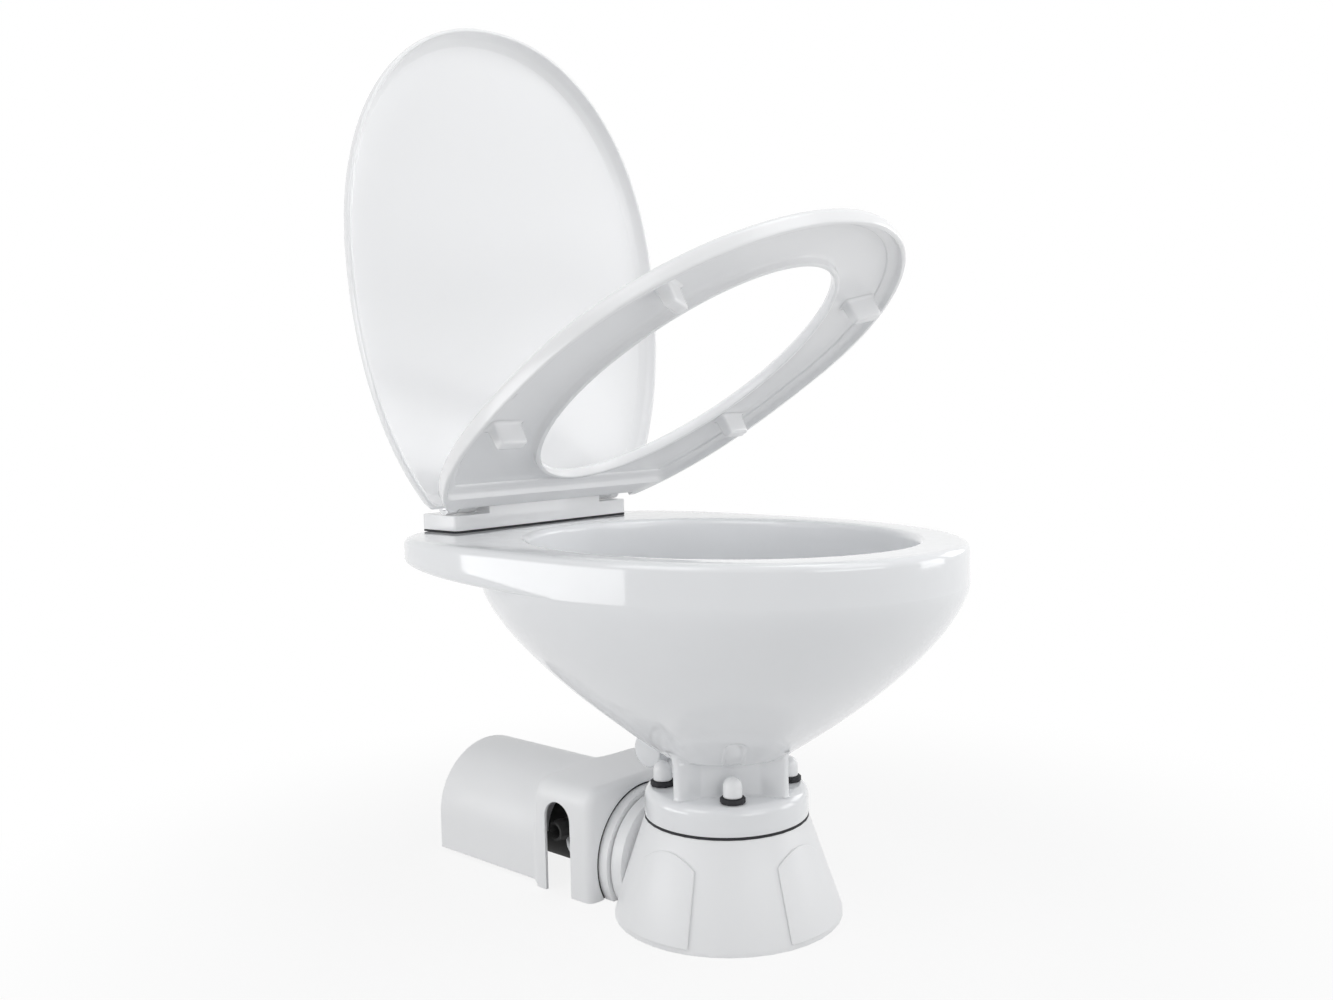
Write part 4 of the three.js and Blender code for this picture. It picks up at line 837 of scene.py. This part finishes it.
def lid_profile(sizes):
    """Rings of the lid from the middle of its inner panel, round the rim and over the crown."""
    skirt, panel = sizes.skirt / MM, sizes.panel / MM
    under, edge = LID_UNDER, LID_EDGE
    flat = (190, 150, 110, 75, 48, panel + 12, panel + 3, panel + 0.5)
    rings = [(inset, under) for inset in flat]
    rings += [(panel, under - 0.06), (panel - 0.5, under - 0.36), (7.9, 1.6), (7.1, 0.8)]
    foot = [(4.2, 5.8), (edge + 0.65, 1.2), (edge + 0.35, 0.45), (edge - 0.1, 0.1)]
    foot += [(edge - 0.7, 0), (0.8, 0.05), (0.2, 0.5), (0, 1.4)]
    rings += [(inset, rise - skirt) for inset, rise in foot]
    top = under + LID_THICKNESS
    for turn in np.linspace(0, QUARTER, 15):
        inset = LID_SHOULDER * (1 - math.cos(turn)) ** 1.08
        rings.append((inset, -skirt + (top + skirt) * (0.2 + 0.8 * math.sin(turn) ** 0.96)))
    for share in (0.12, 0.28, 0.45, 0.6, 0.75, 0.9):
        inset = LID_SHOULDER + (LID["a"] - LID_SHOULDER) * share
        rings.append((inset, top + LID_CROWN * (1 - (1 - share) ** 2)))
    return rings


class TOILET_OT_lid(bpy.types.Operator):
    """Draws the open lid: a thin shell with a flat inner panel and a curved skirt"""

    bl_idname = "toilet.lid"
    bl_label = "Lid"

    def execute(self, context):
        sizes = context.scene.toilet_lid
        turns = even_turns(sizes.sides)
        rings = [oval(LID, inset, height, turns) for inset, height in lid_profile(sizes)]
        lid = draw_rings("lid_moulded", in_metres(rings), closed=False)
        low, near = -20, LID_EARS[0]
        notch = block((-near, -SWING - 1, low), (near, SWING, 22))
        cut(lid, [notch, block((-126.5, -14, low), (126.5, SWING, -5))])
        add_ears(lid, LID_EARS, -15, 0, LID_EAR_HIGH, (83, 119))
        smooth(lid, 45)
        open_about_hinge(lid, math.degrees(sizes.angle))
        finish(lid, "lid", "seat_plastic", "lid")
        return {"FINISHED"}


# Pieces that keep the shape of their part, with rounded edges


def dress(names, edge):
    """Copies each named node with rounded edges and its own finish."""
    for node in names:
        piece = copy_node(node, f"{node}_finished", edge, 40)
        finish(piece, body_of(frame["nodes"][node])[0], SLOTS[node], node)


FLANGE_HEIGHT = 33
FLANGE_SPAN = (88, 160)
# Radius on the floor, radius at the top, and height
BASE_CONE = (106, 76, 91.5)
BOSS_FRONT, BOSS_REAR = 74, 94


def shaft_disc(radius, y0, y1, height=FLANGE_HEIGHT):
    """A disc or rod along Y, in millimetres."""
    clear_selection()
    bpy.ops.mesh.primitive_cylinder_add(
        vertices=96,
        radius=radius * MM,
        depth=(y1 - y0) * MM,
        location=(0, (y0 + y1) / 2 * MM, height * MM),
        rotation=(math.pi / 2, 0, 0),
    )
    return settle()


def cone(lower, upper, height):
    """An upright cone on the floor, in millimetres."""
    clear_selection()
    bpy.ops.mesh.primitive_cone_add(
        vertices=128,
        radius1=lower * MM,
        radius2=upper * MM,
        depth=height * MM,
        location=(0, 0, height / 2 * MM),
    )
    return settle()


class TOILET_OT_base(bpy.types.Operator):
    """Finishes the conical base, its access covers, flange and seals"""

    bl_idname = "toilet.base"
    bl_label = "Base"

    def execute(self, context):
        sizes = context.scene.toilet_plastic
        flange = context.scene.toilet_cover.flange_radius / MM
        base = copy_node("base_housing", "base_moulded", 0)
        ring = shaft_disc(90, BOSS_FRONT, BOSS_REAR)
        cut(ring, [shaft_disc(flange - 4, BOSS_FRONT - 4, BOSS_REAR + 4), cone(*BASE_CONE)])
        cut(base, [ring])
        round_edges(base, sizes.housing_edge)
        smooth(base)
        finish(base, "base", "housing_plastic", "base_housing")

        disc = copy_node("macerator_housing", "macerator_flange", 0)
        cut(disc, [shaft_disc(flange, *FLANGE_SPAN)], "INTERSECT")
        round_edges(disc, sizes.housing_edge * 1.3)
        smooth(disc)
        finish(disc, "base", "housing_plastic", "macerator_housing")
        seal = copy_node("housing_gasket", "flange_seal", 0)
        cut(seal, [shaft_disc(flange - 7, *FLANGE_SPAN)], "INTERSECT")
        smooth(seal)
        finish(seal, "base", "rubber", "housing_gasket")

        covers = [f"access_cover_{side}" for side in ("front", "left", "right")]
        dress(covers, sizes.small_edge * 2)
        dress(["bowl_seal"], 0)
        return {"FINISHED"}


COVER_MIDDLE = 45
COVER_LOW = -14
BOX_FRONT, BOX_REAR = 104.2, 176
ARCH_FRONT, ARCH_REAR = 194, 341
PATH_STEP = 1.5
MOTOR_HEIGHT = 40
MOTOR_BORE = 37.4
WEBS = (204.1, 283.4)
# Hose slots with an arched top: front, rear, middle of the arch, its height and its radius
LEFT_SLOT = (131, 166, 148.5, 73.5, 17.5)
RIGHT_SLOT = (123, 175, 149, 63, 26)
# Where the walls end above the floor: from, to and height
LOWER_EDGES = ((90, 186, 0.5), (180, 360, 2.5))
PAST_SIDES = 95


def reach_at(turns, outline):
    """Distance from the middle of the cover to its outline at the given turns."""
    x, z = outline[:, 0], outline[:, 1] - COVER_MIDDLE
    polar = np.arctan2(z, x)
    order = np.argsort(polar)
    return np.interp(turns, polar[order], np.hypot(x, z)[order], period=2 * math.pi)


def rounded_path(corners, rounding):
    """Points close together along a closed path of corners, each rounded by its own reach."""
    points = []
    corners = np.array(corners, float)
    for k, (here, reach) in enumerate(zip(corners, rounding)):
        sides = []
        for other in (corners[k - 1], corners[(k + 1) % len(corners)]):
            away = other - here
            sides.append(here + away / np.linalg.norm(away) * reach)
        for s in np.linspace(0, 1, 24):
            points.append((1 - s) ** 2 * sides[0] + 2 * s * (1 - s) * here + s ** 2 * sides[1])
    dense = []
    for a, b in zip(points, points[1:] + points[:1]):
        steps = max(2, int(np.linalg.norm(b - a) / PATH_STEP))
        dense += [a + (b - a) * s for s in np.linspace(0, 1, steps, endpoint=False)]
    return np.array(dense)


def cover_ring(sizes, turns, y, share, inset):
    """A cross-section of the cover: the box at share 0, the arch at share 1."""
    half, top, low = sizes.box_half / MM - inset, sizes.box_top / MM - inset, COVER_LOW - inset
    corner = max(3, sizes.box_corner / MM - inset * 0.5) * 1.4
    corners = [(half, low), (half, top), (-half, top), (-half, low)]
    box = rounded_path(corners, (1, corner, corner, 1))
    radius, high = sizes.arch_radius / MM - inset, sizes.arch_top / MM - inset
    spring = high - radius
    arch = [(radius, z) for z in np.arange(low, spring, PATH_STEP)]
    arch += [(radius * math.cos(t), spring + radius * math.sin(t)) for t in np.linspace(0, math.pi, 90)]
    arch += [(-radius, z) for z in np.arange(spring, low, -PATH_STEP)]
    arch += [(x, low) for x in np.arange(-radius, radius, PATH_STEP)]
    reach = reach_at(turns, box) * (1 - share) + reach_at(turns, np.array(arch)) * share
    x, z = reach * np.cos(turns), COVER_MIDDLE + reach * np.sin(turns)
    return np.stack([x, np.full_like(turns, y), z], axis=1)


def cover_body(sizes, name, inset, front, rear, front_round, rear_round):
    """The cover or its hollow, moved in by the inset, between its front and its rear."""
    plan = []
    for turn in np.linspace(0, QUARTER, 9):
        y = front + front_round * (1 - math.cos(turn))
        plan.append((y, 0, inset + front_round * (1 - math.sin(turn))))
    for y in (front + front_round + 12, front + front_round + 36, BOX_REAR - 6):
        plan.append((y, 0, inset))
    for share in np.linspace(0, 1, 9):
        y = BOX_REAR + (ARCH_FRONT - BOX_REAR) * share
        plan.append((y, share * share * (3 - 2 * share), inset))
    plan += [(y, 1, inset) for y in (220, 260, 300)]
    for turn in np.linspace(0, QUARTER, 5):
        y = rear - rear_round * (1 - math.sin(turn))
        plan.append((y, 1, inset + rear_round * (1 - math.cos(turn))))
    rings = [cover_ring(sizes, even_turns(180), y, share, depth) for y, share, depth in plan]
    return draw_rings(name, in_metres(rings), closed=False)


def hose_slot(side, front, rear, middle, height, radius):
    """Cutters for a slot through one side of the cover."""
    x0, x1 = sorted((side * 65, side * PAST_SIDES))
    return [block((x0, front, -40), (x1, rear, height)), bar(radius, x0, x1, middle, height)]


class TOILET_OT_motor_cover(bpy.types.Operator):
    """Moulds the motor cover: a box round the flange that runs back into an arch, with hose slots"""

    bl_idname = "toilet.motor_cover"
    bl_label = "Motor cover"

    def execute(self, context):
        sizes = context.scene.toilet_cover
        wall, flange = sizes.wall / MM, sizes.flange_radius / MM
        front_round = sizes.front_round / MM
        cover = cover_body(sizes, "motor_cover_moulded", 0, BOX_FRONT, ARCH_REAR, front_round, 3)
        hollow = cover_body(sizes, "cover_hollow", wall, BOX_FRONT + wall, ARCH_REAR - wall, 4, 1)
        cut(hollow, [block((-90, y, MOTOR_HEIGHT), (90, y + wall, 130)) for y in WEBS])
        cut(cover, [hollow, shaft_disc(MOTOR_BORE, 196, 300, MOTOR_HEIGHT)])
        cutters = [shaft_disc(flange + 2, 95, BOX_FRONT + wall + 7)]
        cutters += hose_slot(-1, *LEFT_SLOT) + hose_slot(1, *RIGHT_SLOT)
        for start, end, height in LOWER_EDGES:
            cutters.append(block((-PAST_SIDES, start, -30), (PAST_SIDES, end, height)))
        cut(cover, cutters)
        round_edges(cover, 0.9 * MM, 50, 2)
        smooth(cover, 35)
        finish(cover, "base", "housing_plastic", "motor_cover")

        # A black rubber ring behind the cover's front that shows in the gap round the flange: painted
        # shade for the shadow in that gap.
        gap_shade_ring = shaft_disc(flange + 3.4, BOX_FRONT + 1.2, BOX_FRONT + wall + 0.4)
        named("cover_joint")
        under = block((-PAST_SIDES, 90, -60), (PAST_SIDES, 120, 1))
        cut(gap_shade_ring, [shaft_disc(flange - 4, 90, 120), under])
        round_edges(gap_shade_ring, 0.3 * MM)
        smooth(gap_shade_ring)
        finish(gap_shade_ring, "base", "rubber")
        return {"FINISHED"}


class TOILET_OT_fasteners(bpy.types.Operator):
    """Turns smooth domes for the bolt caps and rounds the washers under them"""

    bl_idname = "toilet.fasteners"
    bl_label = "Fasteners"

    def execute(self, context):
        for node in (f"bolt_cap_{k}" for k in range(1, 5)):
            low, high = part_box(node)
            radius, height = (high.x - low.x) / 2, high.z - low.z
            rings = [(radius * 0.93, 0), (radius, radius * 0.08), (radius, radius * 0.16)]
            for turn in np.radians(np.linspace(0, 84, 13)):
                rings.append((radius * math.cos(turn), height - radius * (1 - math.sin(turn))))
            foot = Vector(((low.x + high.x) / 2, (low.y + high.y) / 2, low.z))
            rounds = [level_ring(even_turns(48), reach, rise) for reach, rise in rings]
            points = [[foot + Vector(point) for point in ring] for ring in rounds]
            cap = draw_rings(f"{node}_dome", points, closed=False)
            smooth(cap, 50)
            finish(cap, "base", "seat_plastic", node)
        washers = [f"bolt_washer_{k}" for k in range(1, 5)]
        dress(washers, context.scene.toilet_plastic.small_edge)
        return {"FINISHED"}


class TOILET_OT_hinge(bpy.types.Operator):
    """Finishes the fixed half of the hinge, its pad, dampers, bolts and nuts"""

    bl_idname = "toilet.hinge"
    bl_label = "Hinge"

    def execute(self, context):
        sizes = context.scene.toilet_plastic
        dress(["hinge_base"], sizes.hinge_edge)
        dress(["hinge_pad"], 0)
        for side in ("left", "right"):
            dress([f"hinge_damper_{side}"], 0)
            dress([f"hinge_bolt_{side}", f"hinge_nut_{side}"], sizes.small_edge)
        return {"FINISHED"}


MACHINERY = (
    "flush_pump_body", "flush_pump_plate", "motor_can", "motor_end_cap", "discharge_nipple",
    "flush_inlet_nipple", "inlet_grommet", "cable_gland", "motor_saddle",
)


class TOILET_OT_machinery(bpy.types.Operator):
    """Finishes the pump, motor and hose tails that show under the cover and beside it"""

    bl_idname = "toilet.machinery"
    bl_label = "Machinery"

    def execute(self, context):
        dress(MACHINERY, context.scene.toilet_plastic.small_edge / 2)
        return {"FINISHED"}


# Stage


def add_softbox(name, place, aim_height, size, brightness):
    """A soft box that the camera doesn't see. A brightness of 1 is the white of paper."""
    bpy.ops.object.light_add(type="AREA", location=place)
    lamp = bpy.context.object
    lamp.name = name
    lamp.data.shape = "RECTANGLE"
    lamp.data.size, lamp.data.size_y = size
    lamp.data.energy = brightness * math.pi * size[0] * size[1]
    way = Vector((0, 0, aim_height)) - Vector(place)
    lamp.rotation_euler = way.to_track_quat("-Z", "Y").to_euler()
    lamp.visible_camera = False


# Within the first distance from the middle of the floor the shadow shows at its strongest, and past
# the second the floor is plain white
SHADOW_NEAR, SHADOW_FAR = 0.3, 0.85
SHADOW_GLOW = 0.86
WORLD_COLOUR = (0.97, 0.985, 1.0, 1)
WORLD_STRENGTH = 0.3
WHITE = (1, 1, 1, 1)


def make_floor_material(base):
    """White to the camera and in reflections, with a soft shadow kept near the object."""
    tree, shader = new_material("studio_floor")
    set_inputs(tree, shader, {
        "Base Color": tint(tree, add_noise(tree, 3), base, 0.01),
        "Roughness": 0.9,
        "Specular IOR Level": 0.1,
    })
    away = add(tree, "VectorMath", {0: object_place(tree)}, "LENGTH").outputs["Value"]
    fade = spread(tree, away, SHADOW_GLOW, 1.0, SHADOW_NEAR, SHADOW_FAR, "SMOOTHSTEP")
    share = add(tree, "Math", {0: seen_directly(tree), 1: fade}, "MULTIPLY").outputs[0]
    glow = add(tree, "Emission", {"Strength": 1.0}).outputs["Emission"]
    blend = add(tree, "MixShader", {0: share, 1: shader.outputs["BSDF"], 2: glow})
    output = next(node for node in tree.nodes if node.type == "OUTPUT_MATERIAL")
    set_inputs(tree, output, {"Surface": blend.outputs["Shader"]})


def seen_directly(tree):
    """1 for what the camera, a reflection or a clear piece sees, 0 for what lights the object."""
    paths = add(tree, "LightPath", {})
    total = paths.outputs["Is Camera Ray"]
    for name in ("Is Glossy Ray", "Is Transmission Ray"):
        total = add(tree, "Math", {0: total, 1: paths.outputs[name]}, "MAXIMUM").outputs[0]
    return total


def make_world():
    """Soft light on the object, and white for the camera."""
    world = bpy.data.worlds.new("studio_world")
    bpy.context.scene.world = world
    world.use_nodes = True
    tree = world.node_tree
    tree.nodes.clear()
    soft = add(tree, "Background", {"Color": WORLD_COLOUR, "Strength": WORLD_STRENGTH})
    white = add(tree, "Background", {"Color": WHITE, "Strength": 1.0})
    blend = add(tree, "MixShader", {0: seen_directly(tree), 1: soft.outputs[0], 2: white.outputs[0]})
    add(tree, "OutputWorld", {"Surface": blend.outputs[0]})


# The photograph's camera: place in metres, turns in radians, focus and width in pixels
CAMERA_PLACE = (-0.8828, -0.7258, 0.4737)
CAMERA_YAW = 0.8393
CAMERA_PITCH = 0.0785
CAMERA_ROLL = -0.0213
CAMERA_FOCUS = 1257.45
PHOTO_WIDTH = 1333
SENSOR_WIDTH = 36


def add_camera():
    yaw, pitch, roll = CAMERA_YAW, CAMERA_PITCH, CAMERA_ROLL
    forward = Vector((math.sin(yaw) * math.cos(pitch), math.cos(yaw) * math.cos(pitch), -math.sin(pitch)))
    right = Vector((math.cos(yaw), -math.sin(yaw), 0))
    up = right.cross(forward)
    tilted_right = math.cos(roll) * right + math.sin(roll) * up
    tilted_up = -math.sin(roll) * right + math.cos(roll) * up
    turn = Matrix((tilted_right, tilted_up, -forward)).transposed()
    bpy.ops.object.camera_add()
    camera = bpy.context.object
    camera.matrix_world = Matrix.Translation(CAMERA_PLACE) @ turn.to_4x4()
    camera.data.sensor_fit = "HORIZONTAL"
    camera.data.sensor_width = SENSOR_WIDTH
    camera.data.lens = CAMERA_FOCUS / PHOTO_WIDTH * SENSOR_WIDTH
    camera.data.clip_end = 50
    bpy.context.scene.camera = camera


# Each soft box: name, place, the height on the axis that it faces, width and height, brightness
SOFTBOXES = (
    ("softbox_left", (-1.45, 0.95, 0.32), 0.3, (1.25, 0.55), 3.1),
    ("softbox_front", (-0.45, -1.95, 0.7), 0.25, (1.3, 0.6), 2.4),
    ("softbox_right", (1.3, -1.5, 0.6), 0.3, (0.8, 0.8), 2.6),
    ("softbox_far_right", (1.8, -0.5, 0.95), 0.32, (0.9, 0.7), 2.4),
    ("softbox_high_front", (0, -1.8, 2.2), 0.3, (1.4, 1.4), 1.7),
    ("softbox_high_left", (-1.8, 0.3, 2.0), 0.3, (1.4, 1.4), 1.9),
    ("softbox_top", (0.05, -0.35, 1.7), 0.3, (0.6, 0.6), 3),
)
FLOOR_WIDTH = 24
FLOOR_SINK = 0.0005


class TOILET_OT_stage(bpy.types.Operator):
    """Sets up the pale floor, the soft light and the photograph's camera"""

    bl_idname = "toilet.stage"
    bl_label = "Stage"

    def execute(self, context):
        clear_selection()
        bpy.ops.mesh.primitive_plane_add(size=FLOOR_WIDTH, location=(0, 0, -FLOOR_SINK))
        floor = named("studio_floor")
        make_floor_material(context.scene.toilet_colours.floor)
        floor.data.materials.append(bpy.data.materials["studio_floor"])
        make_world()
        for softbox in SOFTBOXES:
            add_softbox(*softbox)
        add_camera()
        context.scene.view_settings.view_transform = "Standard"
        clear_selection()
        return {"FINISHED"}


class TOILET_PT_panel(bpy.types.Panel):
    """Lists the steps that build the toilet"""

    bl_idname = "TOILET_PT_panel"
    bl_label = "Marine toilet"
    bl_space_type = "VIEW_3D"
    bl_region_type = "UI"
    bl_category = "Toilet"

    def draw(self, context):
        layout = self.layout
        for step in STEPS:
            layout.operator(step.bl_idname)
        for group in GROUPS:
            settings = getattr(context.scene, group)
            box = layout.box()
            for key in settings.__annotations__:
                box.prop(settings, key)


STEPS = (
    TOILET_OT_stage,
    TOILET_OT_finishes,
    TOILET_OT_bowl,
    TOILET_OT_seat,
    TOILET_OT_lid,
    TOILET_OT_base,
    TOILET_OT_motor_cover,
    TOILET_OT_fasteners,
    TOILET_OT_hinge,
    TOILET_OT_machinery,
)
GROUPS = {
    "toilet_colours": ToiletColours,
    "toilet_bowl": BowlSizes,
    "toilet_seat": SeatSizes,
    "toilet_lid": LidSizes,
    "toilet_cover": CoverSizes,
    "toilet_plastic": PlasticSizes,
}


def register():
    for group in GROUPS.values():
        bpy.utils.register_class(group)
    for name, group in GROUPS.items():
        setattr(bpy.types.Scene, name, PointerProperty(type=group))
    for step in STEPS:
        bpy.utils.register_class(step)
    bpy.utils.register_class(TOILET_PT_panel)


def unregister():
    bpy.utils.unregister_class(TOILET_PT_panel)
    for step in reversed(STEPS):
        bpy.utils.unregister_class(step)
    for name, group in reversed(GROUPS.items()):
        delattr(bpy.types.Scene, name)
        bpy.utils.unregister_class(group)


def main():
    register()
    bpy.ops.toilet.stage()
    bpy.ops.toilet.finishes()
    bpy.ops.toilet.bowl()
    bpy.ops.toilet.seat()
    bpy.ops.toilet.lid()
    bpy.ops.toilet.base()
    bpy.ops.toilet.motor_cover()
    bpy.ops.toilet.fasteners()
    bpy.ops.toilet.hinge()
    bpy.ops.toilet.machinery()


if __name__ == "__main__":
    main()
